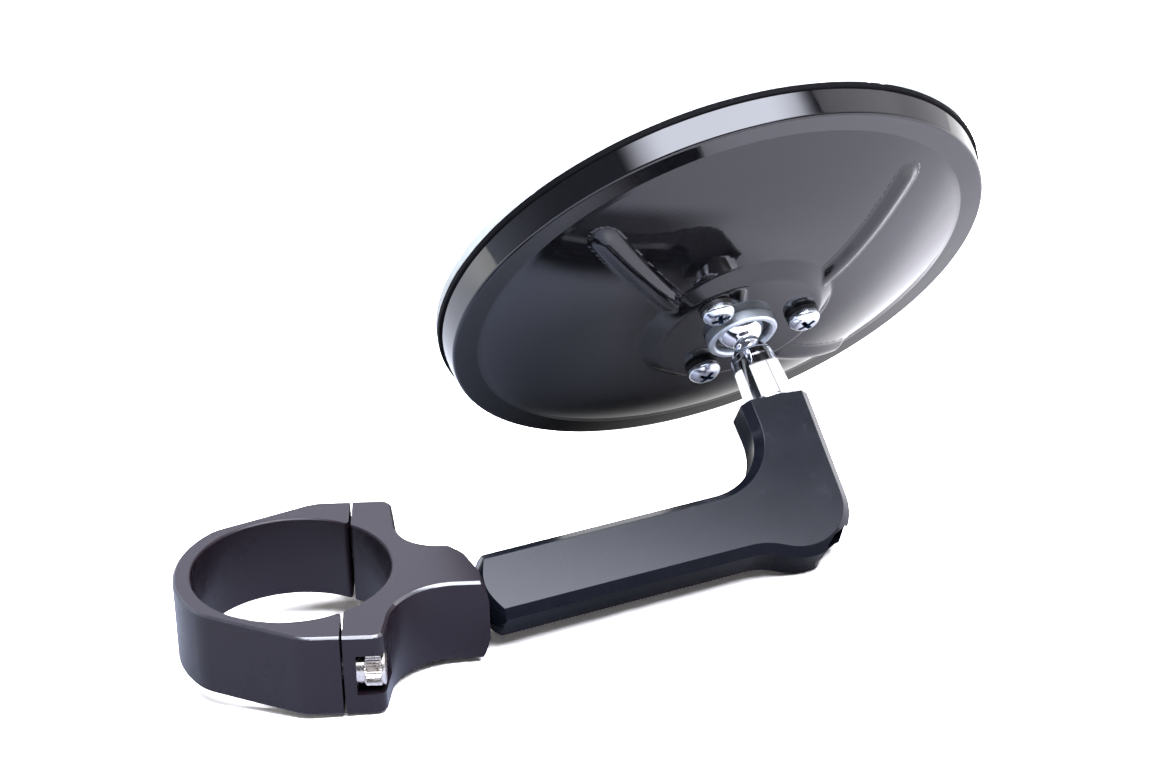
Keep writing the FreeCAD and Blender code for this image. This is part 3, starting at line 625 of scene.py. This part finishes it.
# ---------------------------------------------------------------- back shell
SHEET = 0.8
BOSS_Z = 1.8
BOSS_R = 18.0
DISH_START = (21.7, -0.75)
DISH_EDGE = (53.4, -9.3)
DISH_POWER = 1.7
HOLE_R = 7.8
RIM = (60.4, -15.6)
RIBS = (
    ((-15.0, 9.5), (-36.0, 34.5)),
    ((16.5, 8.5), (33.5, 37.5)),
    ((14.0, -18.0), (36.5, -34.0)),
)
RIB_HALF = 2.9
RIB_TOP = 0.75            # half width of a rib's crown
RIB_RISE = 1.3
RIB_BLEND = 0.3           # share of a rib's side that each of its rounded ends takes
RIBS_FROM = 16.0          # the shell is plain inside this radius
BOSS_BLEND = 0.35         # depth of the blend between a rib and the boss
SHELL_AROUND = 1080       # columns of the shell's grid
SHELL_STEP = 0.36         # most between its rows
SLOPE_STEP = 0.08         # half the distance that its slope is measured over
INNER_ROWS = 3            # one row of the inner face to so many of the outer


def dish_z(r):
    """Height of the dish at a radius, without its ribs."""
    share = np.clip((r - DISH_START[0]) / (DISH_EDGE[0] - DISH_START[0]), 0, 1.2)
    return DISH_START[1] + (DISH_EDGE[1] - DISH_START[1]) * share ** DISH_POWER


def shell_outline():
    """Rear outline from the collar's hole to the rim, as dense (radius, height) points."""
    corners = [(HOLE_R, BOSS_Z - SHEET, 0), (HOLE_R, BOSS_Z, 0.15), (BOSS_R, BOSS_Z, 2.6)]
    corners.append((DISH_START[0], DISH_START[1], 3.0))
    for r in np.linspace(DISH_START[0], DISH_EDGE[0], 28)[1:-1]:
        corners.append((r, float(dish_z(r)), 0))
    corners += [(*DISH_EDGE, 1.0), (54.35, -9.68, 0.9), (59.55, -9.95, 0.75), (*RIM, 0)]
    line = softened_line(corners, radians(6))
    # split long runs so that the ribs and the shading have points to bend
    dense = [line[0]]
    for (r0, z0), (r1, z1) in zip(line, line[1:]):
        count = max(1, ceil(sqrt((r1 - r0) ** 2 + (z1 - z0) ** 2) / SHELL_STEP))
        dense += [(r0 + (r1 - r0) * k / count, z0 + (z1 - z0) * k / count) for k in range(1, count + 1)]
    return np.array(dense)


def eased(t, blend):
    """0 to 1 ramp with rounded ends, each taking up the blend share."""
    low = (t + blend) ** 2 / (4 * blend)
    high = 1 - (1 + blend - t) ** 2 / (4 * blend)
    middle = np.where(t < 1 - blend, t, high)
    return np.where(t < -blend, 0, np.where(t < blend, low, np.where(t < 1 + blend, middle, 1)))


def rib_height(x, y):
    """Height of the ribs over the dish."""
    total = np.zeros_like(x)
    for (ax, ay), (bx, by) in RIBS:
        length = sqrt((bx - ax) ** 2 + (by - ay) ** 2)
        ux, uy = (bx - ax) / length, (by - ay) / length
        along = np.clip((x - ax) * ux + (y - ay) * uy, 0, length - RIB_HALF)
        away = np.sqrt((x - ax - along * ux) ** 2 + (y - ay - along * uy) ** 2)
        ramp = (RIB_HALF - away) / (RIB_HALF - RIB_TOP)
        total = np.maximum(total, RIB_RISE * eased(ramp, RIB_BLEND))
    return total


shell_line = shell_outline()


def shell_z(x, y):
    """Rear surface over the plan, out to the flange."""
    r = np.sqrt(x * x + y * y)
    base = np.interp(r, shell_line[1:, 0], shell_line[1:, 1])
    rib = rib_height(x, y)
    ribbed = dish_z(np.maximum(r, DISH_START[0])) + rib
    # smooth maximum, so that a rib flows out of the boss
    t = np.clip(0.5 + (ribbed - base) / (2 * BOSS_BLEND), 0, 1)
    joined = base * (1 - t) + ribbed * t + BOSS_BLEND * t * (1 - t)
    return np.where(rib > 1e-4, np.maximum(joined, base), base)


def turned_normals(run, angles):
    """Normals, on the left of a profile's runs, of each point of the profile turned about z."""
    run = run / np.linalg.norm(run, axis=1)[:, None]
    radial, rising = -run[:, 1][:, None], run[:, 0][:, None]
    return np.stack([radial * np.cos(angles), radial * np.sin(angles), rising + 0 * angles], -1)


def turned_grid(profile, angles):
    """Points, a row for each point of the profile and a column for each angle."""
    r, z = profile[:, 0][:, None], profile[:, 1][:, None]
    return np.stack([r * np.cos(angles), r * np.sin(angles), z + 0 * angles], -1)


def back_shell():
    """Pressed shell: a polar grid whose shading follows the pressed surface exactly."""
    angles = np.linspace(0, tau, SHELL_AROUND, endpoint=False)
    run = np.gradient(shell_line, axis=0)
    outer, normals = turned_grid(shell_line, angles), turned_normals(run, angles)
    ribbed = (shell_line[:, 0] > RIBS_FROM) & (shell_line[:, 0] < DISH_EDGE[0] - 1)
    x, y = outer[ribbed, :, 0], outer[ribbed, :, 1]
    outer[ribbed, :, 2] = shell_z(x, y)
    d = SLOPE_STEP
    slope_x = (shell_z(x + d, y) - shell_z(x - d, y)) / (2 * d)
    slope_y = (shell_z(x, y + d) - shell_z(x, y - d)) / (2 * d)
    upright = np.stack([-slope_x, -slope_y, np.ones_like(x)], -1)
    normals[ribbed] = upright / np.linalg.norm(upright, axis=-1)[..., None]

    # the inner face is the plain outline moved inwards by the sheet
    way = run / np.linalg.norm(run, axis=1)[:, None]
    inner_line = shell_line - np.stack([-way[:, 1], way[:, 0]], -1) * SHEET
    inner_line[-1] = (RIM[0] - SHEET, RIM[1])
    inner_line = inner_line[2::INNER_ROWS]
    inner = turned_grid(inner_line, angles)
    inner_normals = -turned_normals(np.gradient(inner_line, axis=0), angles)

    rows = len(outer) + len(inner)
    faces = []
    for row in range(rows):
        here, below = row * SHELL_AROUND, (row + 1) % rows * SHELL_AROUND
        for k in range(SHELL_AROUND):
            n = (k + 1) % SHELL_AROUND
            faces.append((here + k, below + k, below + n, here + n))
    basis = np.array([head.x, head.y, head.z])
    verts = np.concatenate([outer, inner[::-1]]).reshape(-1, 3)
    world_normals = np.concatenate([normals, inner_normals[::-1]]).reshape(-1, 3) @ basis
    shell = new_piece(
        "shell_pressed", head.to_world(verts), faces, [looks["shell_black"]], world_normals)
    add_to_frame(shell, "head", "shell_black", "back_shell")


back_shell()


# ---------------------------------------------------------------- rim gasket and glass
GASKET_R = 61.0
GASKET_INNER_R = 56.0
GASKET_LOW = -17.0
GLASS_R = 60.6
GLASS_REAR = -17.26       # rear rim of the glass, clear of the silvering
GLASS_FRONT = -19.25
GLASS_CURVE_R = 1200.0
GLASS_BEVEL = 0.4
SILVER_REAR = GLASS_REAR + 0.25
SILVER_FRONT = GLASS_REAR + 0.02
SILVER_R = GLASS_R - 0.3
DISC_STEPS = 360
# angle and half width, in degrees, and depth of each nick in the gasket
NICKS = ((66, 0.9, 0.16), (69.5, 0.5, 0.12), (113, 0.7, 0.1), (141, 0.6, 0.1), (24, 0.8, 0.1))


def gasket_edge(r, z, angle):
    """Slightly uneven moulded outer edge with a few nicks."""
    if r < GASKET_R - 1.5:      # the inner edge is plain
        return r, z
    bite = 0.02 * sin(9 * angle + 1) + 0.015 * sin(23 * angle) + 0.02
    turn = degrees(angle) % 360
    for place, half, depth in NICKS:
        bite += depth * max(0, 1 - ((turn - place) / half) ** 2)
    return r - bite, z


gasket = lathe(
    "gasket_ring",
    softened_line([
        (GASKET_INNER_R, GASKET_LOW, 0), (GASKET_R, GASKET_LOW, 0.35), (GASKET_R, RIM[1], 0.45),
        (GASKET_INNER_R, RIM[1], 0)]),
    head, [looks["gasket_rubber"]], steps=SHELL_AROUND, closed=True, shape=gasket_edge)
add_to_frame(crisp(gasket, 50), "head", "gasket_rubber", "rim_gasket")


def dome(edge_z, r):
    """Height at a radius of the domed face whose rim is at edge_z."""
    return edge_z - (GLASS_R ** 2 - r ** 2) / 2 / GLASS_CURVE_R


def mirror_disc(name, radius, rear, front, bevel, materials):
    """Domed disc: front face, edge and rear face. A second material is for the edge."""
    radii = np.linspace(0, radius - bevel, 24)
    outline_front = [(float(r), dome(front, r)) for r in radii]
    outline_rear = [(float(r), dome(rear, r)) for r in np.linspace(radius - 0.05, 0, 24)]
    edge = softened_line([
        (radius - bevel, dome(front, radius - bevel), 0), (radius, front + bevel, 0.2),
        (radius, rear, 0.08), (radius - 0.1, dome(rear, radius - 0.1), 0)])[1:-1]
    points = outline_front + edge + outline_rear
    disc = lathe(name, points, head, materials, steps=DISC_STEPS)
    if len(materials) > 1:
        first, last = len(outline_front) - 1, len(outline_front) + len(edge) - 1
        for index, face in enumerate(disc.data.polygons):
            face.material_index = int(first <= index // DISC_STEPS <= last)
    return crisp(disc, 25)


silver = mirror_disc(
    "silvered_back", SILVER_R, SILVER_REAR, SILVER_FRONT, 0.02, [looks["mirror_silver"]])
add_to_frame(silver, "head", "mirror_silver", "silver_layer")
glass = mirror_disc(
    "glass_disc", GLASS_R, GLASS_REAR, GLASS_FRONT, GLASS_BEVEL, [looks["clear_glass"], edge_look])
add_to_frame(glass, "head", "clear_glass", "mirror_glass")


# ---------------------------------------------------------------- collar and ball stud
SOCKET_R = 6.55
collar_outline = softened_line([
    (6.47, -1.04, 0), (10.2, -1.04, 0.1), (10.2, 0.93, 0.1), (7.68, 0.93, 0), (7.68, 3.75, 0.12),
    (7.32, 4.1, 0.12), (6.55, 4.1, 0.12), (6.15, 3.7, 0.12), (6.15, 2.27, 0.0)])
collar_outline += arc(SOCKET_R, 70.5, 99.0, 8)
collar = lathe("collar_ring", collar_outline, head, [collar_look], steps=240, closed=True)
add_to_frame(crisp(collar, 35), "socket", "zinc_steel", "socket_collar")

BALL_R = 5.7
STUD_DEEP = 18.0
ball_foot = arc(BALL_R, 150, 147, 1, BALL_RISE)[0]
stud_outline = softened_line([
    (0, -STUD_DEEP, 0), (3.98, -STUD_DEEP, 0.4), (3.98, 0.02, 0), (5.38, 0.02, 0.12),
    (5.38, 0.7, 0.5), (4.65, 12.5, 1.1), (2.62, 15.4, 1.2), (2.6, 16.3, 0.7), (*ball_foot, 0)])
stud_outline += arc(BALL_R, 147, 0, 44, BALL_RISE)
stud = lathe("stud_turned", stud_outline, stem, [looks["bright_chrome"]], steps=256)
add_to_frame(crisp(stud, 35), "arm", "bright_chrome", "ball_stud")


# ---------------------------------------------------------------- pan-head screws on the boss
PAN_R = 3.5
PAN_HIGH = 2.4
SCREW_CIRCLE_R = 14.0
SCREW_ANGLES = (126.0, 6.0, -114.0)
CROSS_TURNS = (18, 40, 62)
WASHER = 0.9
SHANK_R = 1.93
SHANK_LONG = 5.2
WING_LONG = 2.1           # half sizes of a recess wing at the head's top
WING_WIDE = 0.52
WING_TAPER = 0.7
WING_FLOOR = 0.75
WING_PAST = 0.2           # how far the cutter stands out of the head


def pan_screw(index, angle, cross_turn):
    """Domed pan head with a tapered cross recess."""
    place = radians(angle)
    at = head.at(SCREW_CIRCLE_R * cos(place), SCREW_CIRCLE_R * sin(place), BOSS_Z + WASHER)
    at = at.turned(radians(cross_turn))
    outline = softened_line([
        (0, -SHANK_LONG, 0), (SHANK_R, -SHANK_LONG, 0.3), (SHANK_R, 0.0, 0), (PAN_R, 0.0, 0.15),
        (PAN_R, 1.05, 0.9), (2.5, 2.2, 1.8), (0, PAN_HIGH, 0)])
    screw = lathe("pan_screw_%d" % index, outline, at, [looks["zinc_steel"]], steps=72)
    for quarter in (0, 1):
        wing = [(x * WING_LONG, y * WING_WIDE) for x, y in ((-1, -1), (1, -1), (1, 1), (-1, 1))]
        verts = [(x * WING_TAPER, y * WING_TAPER, WING_FLOOR) for x, y in wing]
        verts += [(x, y, PAN_HIGH + WING_PAST) for x, y in wing]
        faces = [(3, 2, 1, 0), (4, 5, 6, 7)]
        faces += [(i, (i + 1) % 4, 4 + (i + 1) % 4, 4 + i) for i in range(4)]
        # the recess faces take the cutter's dark zinc, a painted shade
        cutter = new_piece("wing", at.turned(pi / 2 * quarter).to_world(verts), faces, [recess_painted_shade])
        cut(screw, cutter)
    soft_edges(screw, 0.07, 2, 35)
    bake(screw)
    add_to_frame(crisp(screw, 40), "head", "zinc_steel", "shell_screw_%d" % index)


for index, (angle, cross_turn) in enumerate(zip(SCREW_ANGLES, CROSS_TURNS), 1):
    pan_screw(index, angle, cross_turn)


# ---------------------------------------------------------------- clamp screws
POCKET_X = 13.3
LOCK_WASHER = 1.5
SCREW_Y = 22.9
CLAMP_HEIGHT = 17.3
HEAD_R = 3.5
HEAD_HIGH = 4.0
HEX_ACROSS = 3.0
HEX_FLOOR = 1.8
CAP_SHANK_R = 1.93
CAP_SHANK_LONG = 12.0
RIM_R = 3.42              # smooth rim of the head, past its knurl
KNURLS = 40
KNURL_DEEP = 0.3
KNURL_TOP = 3.25          # the knurl stops short of the head's smooth rim


def knurled(r, z, angle):
    """Straight knurl on the head's side."""
    if r > HEAD_R - 0.02 and z < KNURL_TOP:
        tooth = abs((angle * KNURLS / tau) % 1 - 0.5) * 2
        return r - KNURL_DEEP * tooth, z
    return r, z


def cap_screw(name, node, side):
    """Socket-head cap screw with a knurled head."""
    at = axes_along((POCKET_X + LOCK_WASHER, side * SCREW_Y, CLAMP_HEIGHT / 2), (1, 0, 0))
    profile = [
        (0, -CAP_SHANK_LONG), (1.6, -CAP_SHANK_LONG), (CAP_SHANK_R, 0.4 - CAP_SHANK_LONG),
        (CAP_SHANK_R, 0.0), (3.2, 0.0), (3.3, 0.08), (HEAD_R, 0.3)]
    profile += [(HEAD_R, z) for z in (0.4, 1.2, 2.0, 2.8, KNURL_TOP - 0.1)]
    profile += [
        (RIM_R - 0.04, KNURL_TOP), (RIM_R, KNURL_TOP + 0.1), (RIM_R, HEAD_HIGH - 0.4),
        (3.34, HEAD_HIGH - 0.18), (3.2, HEAD_HIGH - 0.05), (3.02, HEAD_HIGH), (0, HEAD_HIGH)]
    materials = [looks["nickel_steel"], looks["dark_steel"]]     # head, oily shank
    screw = lathe(name, profile, at, materials, steps=KNURLS * 4, shape=knurled)
    for face in screw.data.polygons:
        face.material_index = int((face.center / MM - at.origin).dot(at.z) < 0)
    corner = HEX_ACROSS / 2 / cos(radians(30))
    hexagon = [(corner * cos(radians(60 * i)), corner * sin(radians(60 * i))) for i in range(6)]
    cut(screw, prism("hexagon", hexagon, HEX_FLOOR, HEAD_HIGH + 1, at))
    add_to_frame(crisp(screw, 30), "mount", "nickel_steel", node)


cap_screw("knurled_near", "clamp_screw_near", -1)
cap_screw("knurled_far", "clamp_screw_far", 1)

# ---------------------------------------------------------------- clamp and arm
BORE_R = 19.5
GAP_X = 10.71


def clamp_face_look(face):
    """0 for the clamp's main faces, 1 for its outside edge breaks, which carry a painted highlight, 2 for the
    gap's walls, which carry painted shade.
    """
    middle = face.center / MM
    if abs(face.normal.x) > 0.97 and abs(middle.x - GAP_X) < 0.35:
        return 2
    sloping = 0.4 < abs(face.normal.z) < 0.92 and face.normal.dot(arm.x) < 0.45
    return int(sloping and sqrt(middle.x ** 2 + middle.y ** 2) > BORE_R + 0.6)


# faces sloping within these bands get the arm's painted shade
UNDER_BEVEL = (38, 52)    # degrees from the broad face's normal towards the arm's underside
UNDER_WALL = (84, 140)


def arm_face_look(face):
    """0 for the arm's main faces, 1 for its inner edge, which carries a painted highlight, 2 for its underside,
    which carries painted shade.
    """
    along, across, out = (face.normal.dot(way) for way in (arm.x, arm.y, arm.z))
    if 0.6 < out < 0.985 and across > 0.1 and abs(along) < 0.9:
        return 1
    slope = degrees(atan2(-across, out))
    under = any(low < slope < high for low, high in (UNDER_BEVEL, UNDER_WALL))
    return 2 if under and along < 0.5 else 0


softened("clamp_body", "mount", "clamp_black", 0.12, 2, clamp_looks, clamp_face_look)
softened("clamp_strap", "strap", "clamp_black", 0.12, 2, clamp_looks, clamp_face_look)
softened("arm", "arm", "arm_black", 0.35, 3, arm_looks, arm_face_look)


# ---------------------------------------------------------------- table, light and camera
TABLE_NORMAL = Vector((-0.0588, 0.1058, 0.9926)).normalized()   # the mirror stands on three points
TABLE_GAP = 0.00005
TABLE_HALF = 2.5
# centre, turn in degrees, half sizes and light left of the painted shade on the table under the head
# and the arm, as the gloss on them sees it
SHADED_PATCHES = (
    ((0.070, 0.070), 0, (0.060, 0.050), 0.45),
    ((0.076, 0.000), 23, (0.055, 0.016), 0.2),
)
# the same painted shade for the camera, just under the clamp's two gaps
SHADED_GAPS = (
    ((0.010, 0.033), 0, (0.005, 0.009), 0.1),
    ((0.010, -0.021), 0, (0.003, 0.005), 0.1),
)


def lowest_support():
    """How far along the table's normal the object reaches down."""
    low = 1e9
    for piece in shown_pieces():
        spots = np.empty(len(piece.data.vertices) * 3)
        piece.data.vertices.foreach_get("co", spots)
        low = min(low, float((spots.reshape(-1, 3) @ np.array(TABLE_NORMAL)).min()))
    return low


def stage_quad(name, centre, across, up, half_across, half_up, material):
    """Flat sheet of the stage, facing along across x up."""
    corners = [centre + across * (i * half_across) + up * (j * half_up)
               for i, j in ((-1, -1), (1, -1), (1, 1), (-1, 1))]
    mesh = bpy.data.meshes.new(name)
    mesh.from_pydata([tuple(c) for c in corners], [], [(0, 1, 2, 3)])
    mesh.materials.append(material)
    quad = bpy.data.objects.new(name, mesh)
    bpy.context.scene.collection.objects.link(quad)
    return quad


def light_left(s, centre, turn, size, shade):
    """Share of the light left on the table: an oval of painted shade with a soft edge."""
    patch = s.node("Mapping", {"vector_type": "TEXTURE"}, Vector=s.place)
    patch.inputs["Location"].default_value = (*centre, 0)
    patch.inputs["Rotation"].default_value = (0, 0, radians(turn))
    patch.inputs["Scale"].default_value = (*size, 1)
    lit_share = s.ramp(s.vector("LENGTH", patch.outputs[0]), 0.35, 1.1)
    return s.math("ADD", shade, s.math("MULTIPLY", lit_share, 1 - shade))


def table_material():
    """Matt white table, washed out to white for the camera except close under the object.

    Where a pose takes something under it, it opens up for the camera."""
    s = Shader("table")
    split = s.node("SeparateXYZ", Vector=s.place)
    for_camera = s.node("LightPath").outputs["Is Camera Ray"]
    # what the gloss sees of the table is painted darker and bluer towards the left
    side = s.ramp(split.outputs["X"], 0.03, 0.12)
    seen_in_gloss = s.mix(side, (0.46, 0.50, 0.60), (0.86, 0.83, 0.86))
    for patch in SHADED_PATCHES:
        seen_in_gloss = s.mix(light_left(s, *patch), (0, 0, 0), seen_in_gloss)
    seen_by_camera = (2.4, 2.3, 2.15)
    for patch in SHADED_GAPS:
        seen_by_camera = s.mix(light_left(s, *patch), (0, 0, 0), seen_by_camera)
    away = s.vector("LENGTH", s.vector("SUBTRACT", s.place, (0.06, 0.03, 0)))
    colour = s.mix(for_camera, seen_in_gloss, seen_by_camera)
    white = s.node("BsdfDiffuse", Color=colour).outputs[0]
    far_left = s.ramp(split.outputs["X"], -0.6, 0.0, 2.4, 1.2)
    far_glow = s.math("MULTIPLY", s.ramp(away, 0.06, 0.4, smooth=False), far_left)
    # painted light: a glow on the table behind the head
    far_glow = s.math("ADD", far_glow, s.ramp(split.outputs["Y"], 0.093, 0.122, 0.0, 0.8))
    # behind the arm the camera sees no shadow: the table there is washed out
    from_arm = s.vector("SUBTRACT", s.place, (0.05, 0.010, 0))
    past_arm = s.ramp(s.vector("DOT_PRODUCT", from_arm, (-0.45, 0.89, 0)), 0.0, 0.02, 0.0, 1.5)
    washed = s.math("MULTIPLY", past_arm, s.ramp(split.outputs["X"], 0.025, 0.05))
    glow = s.math("ADD", far_glow, s.math("MULTIPLY", washed, for_camera))
    extra = s.node("Emission", Color=(1, 1, 1), Strength=glow).outputs[0]
    lit = s.node("AddShader")
    s.put(lit.inputs[0], white)
    s.put(lit.inputs[1], extra)
    covered = s.node("AmbientOcclusion", {"inside": True, "samples": 8}, Distance=0.6)
    under = s.math("LESS_THAN", covered.outputs["AO"], 0.99)
    from_below = s.node("NewGeometry").outputs["Backfacing"]
    opened = s.node("MixShader", Fac=s.math("MAXIMUM", under, from_below))
    s.put(opened.inputs[1], lit.outputs[0])
    s.put(opened.inputs[2], s.node("BsdfTransparent").outputs[0])
    chosen = s.node("MixShader", Fac=for_camera)
    s.put(chosen.inputs[1], lit.outputs[0])
    s.put(chosen.inputs[2], opened.outputs[0])
    output = s.node("OutputMaterial")
    s.put(output.inputs["Surface"], chosen.outputs[0])
    return s.material


def lay_table():
    """The table's top, tilted in the part's frame so that the mirror stands on its three points."""
    across = Vector((1, 0, 0)) - TABLE_NORMAL * TABLE_NORMAL.x
    across.normalize()
    level = TABLE_NORMAL * (lowest_support() - TABLE_GAP)
    along = TABLE_NORMAL.cross(across)
    table = stage_quad("table", level, across, along, TABLE_HALF, TABLE_HALF, table_material())
    table.visible_shadow = False


lay_table()


LAMP_HIGH = 0.62          # height of the softbox over the point it is aimed at
AIM = Vector((0.06, 0.03, 0.02))
LAMP_LEFT = (-0.66, -0.20)     # where its light starts and is full, in shares of its height
LAMP_RIGHT = (0.95, 0.42)
LAMP_FRONT = (-0.82, -0.66)
LAMP_BACK = (0.05, -0.07)


def lamp_material(strength, tint):
    """Softbox cloth, brighter in the middle and fading at its edges; clear from behind."""
    s = Shader("lamp")
    split = s.node("SeparateXYZ", Vector=s.place)
    fade = strength
    across = [("X", AIM.x, side) for side in (LAMP_LEFT, LAMP_RIGHT)]
    along = [("Y", AIM.y, side) for side in (LAMP_FRONT, LAMP_BACK)]
    for axis, centre, (dark, full) in across + along:
        low, high = (centre + edge * LAMP_HIGH for edge in sorted((dark, full)))
        ends = (0.0, 1.0) if dark < full else (1.0, 0.0)
        fade = s.math("MULTIPLY", fade, s.ramp(split.outputs[axis], low, high, *ends))
    return one_sided(s, tint, fade)


def one_sided(s, tint, strength):
    """Finished material that glows on its front and is clear from behind."""
    glow = s.node("Emission", Color=tint, Strength=strength).outputs[0]
    mixed = s.node("MixShader", Fac=s.node("NewGeometry").outputs["Backfacing"])
    s.put(mixed.inputs[1], glow)
    s.put(mixed.inputs[2], s.node("BsdfTransparent").outputs[0])
    output = s.node("OutputMaterial")
    s.put(output.inputs["Surface"], mixed.outputs[0])
    return s.material


def hang_lamp():
    """The softbox over the table; the camera sees past it."""
    middle = Vector((LAMP_LEFT[0] + LAMP_RIGHT[0], LAMP_FRONT[0] + LAMP_BACK[0], 2)) / 2 * LAMP_HIGH
    lamp = stage_quad(
        "softbox", AIM + middle, Vector((-1, 0, 0)), Vector((0, 1, 0)),
        (LAMP_RIGHT[0] - LAMP_LEFT[0]) / 2 * LAMP_HIGH, (LAMP_BACK[0] - LAMP_FRONT[0]) / 2 * LAMP_HIGH,
        lamp_material(15.0, (0.93, 0.96, 1.1)))
    lamp.visible_camera = False


hang_lamp()

CARD_RADII = (22.0, 44.0)
CARD_HEIGHT = 1.5
CARD_SECTORS = ((-178, 56), (59, 141))     # lit degrees about the head's axis


def hang_card():
    """White ring just off the dish, seen in gloss only, for the chrome stem and ball to reflect."""
    verts, faces = [], []
    for first, last in CARD_SECTORS:
        start = len(verts)
        for degree in range(first, last + 1):
            a = radians(degree)
            verts += [(r * cos(a), r * sin(a), CARD_HEIGHT) for r in CARD_RADII]
        faces += [(k, k + 1, k + 3, k + 2) for k in range(start, len(verts) - 2, 2)]
    material = one_sided(Shader("card"), (0.97, 0.98, 1.0), 1.4)
    card = new_piece("stem_card", head.to_world(verts), faces, [material])
    card.visible_camera = card.visible_diffuse = card.visible_shadow = False
    card.visible_transmission = False


hang_card()


def room():
    """What the glossy surfaces see: a white sweep behind, grey walls, a dark side behind the camera.

    The camera sees plain white, and matt surfaces only a weak fill."""
    world = bpy.data.worlds.new("room")
    bpy.context.scene.world = world
    world.cycles.sampling_method = "NONE"
    s = Shader("room", world)
    split = s.node("SeparateXYZ", Vector=s.place)
    x, y, z = (split.outputs[i] for i in range(3))
    # brighter to the back, high at the back and to the right; duller to the left and overhead
    sweep = s.ramp(y, -0.4, 0.3, 0.12, 1.4)
    high_back = s.math("MULTIPLY", s.ramp(y, 0.3, 0.7, 0.0, 1.3), s.ramp(z, 0.3, 0.5))
    right = s.math("MULTIPLY", s.ramp(x, 0.3, 0.75, 0.0, 0.6), s.ramp(z, 0.25, 0.5))
    left = s.math("MULTIPLY", s.ramp(x, -0.8, -0.5, -0.3, 0.0), s.ramp(y, -0.35, 0.3))
    total = s.math("ADD", s.math("ADD", sweep, right), s.math("ADD", left, high_back))
    total = s.math("MULTIPLY", total, s.ramp(z, 0.72, 0.9, 1.0, 0.3))
    total = s.math("MULTIPLY", total, s.ramp(x, -1.0, -0.85, 1.35, 1.0))
    tint = s.mix(s.ramp(x, -0.4, 0.5), (0.86, 0.92, 1.15), (1.0, 0.98, 1.05))
    path = s.node("LightPath")
    light = s.mix(path.outputs["Is Diffuse Ray"], tint, (1.0, 1.0, 1.0))
    strength = s.node("Mix", {"data_type": "FLOAT"})
    s.put(strength.inputs[0], path.outputs["Is Diffuse Ray"])
    s.put(strength.inputs[2], total)
    s.put(strength.inputs[3], 0.15)
    shown = s.node("Mix", {"data_type": "FLOAT"})
    s.put(shown.inputs[0], path.outputs["Is Camera Ray"])
    s.put(shown.inputs[2], strength.outputs[0])
    s.put(shown.inputs[3], 1.0)
    background = s.node("Background", Strength=shown.outputs[0])
    s.put(background.inputs["Color"], s.mix(path.outputs["Is Camera Ray"], light, (1.0, 1.0, 1.0)))
    output = s.node("OutputWorld")
    s.put(output.inputs["Surface"], background.outputs[0])


room()

CAMERA_LENS = 99.53
CAMERA_FAR = 0.6012
CAMERA_TARGET = Vector((0.056396, 0.0, 0.055565))
CAMERA_AZIMUTH = radians(-0.485)
CAMERA_HEIGHT = radians(27.276)
CAMERA_ROLL = radians(-1.663)


def place_camera():
    """The viewpoint: a long lens from the front and above, slightly rolled."""
    data = bpy.data.cameras.new("camera")
    data.lens = CAMERA_LENS
    data.sensor_width = 36.0
    data.clip_start, data.clip_end = 0.01, 20
    camera = bpy.data.objects.new("camera", data)
    bpy.context.scene.collection.objects.link(camera)
    flat = cos(CAMERA_HEIGHT)
    back = Vector((sin(CAMERA_AZIMUTH) * flat, -cos(CAMERA_AZIMUTH) * flat, sin(CAMERA_HEIGHT)))
    level = Vector((cos(CAMERA_AZIMUTH), sin(CAMERA_AZIMUTH), 0))
    upright = back.cross(level)
    right = level * cos(CAMERA_ROLL) + upright * sin(CAMERA_ROLL)
    up = back.cross(right)
    turn = Matrix((right, up, back)).transposed().to_4x4()
    camera.matrix_world = Matrix.Translation(CAMERA_TARGET + back * CAMERA_FAR) @ turn
    bpy.context.scene.camera = camera


place_camera()
bpy.context.scene.view_settings.view_transform = "Standard"
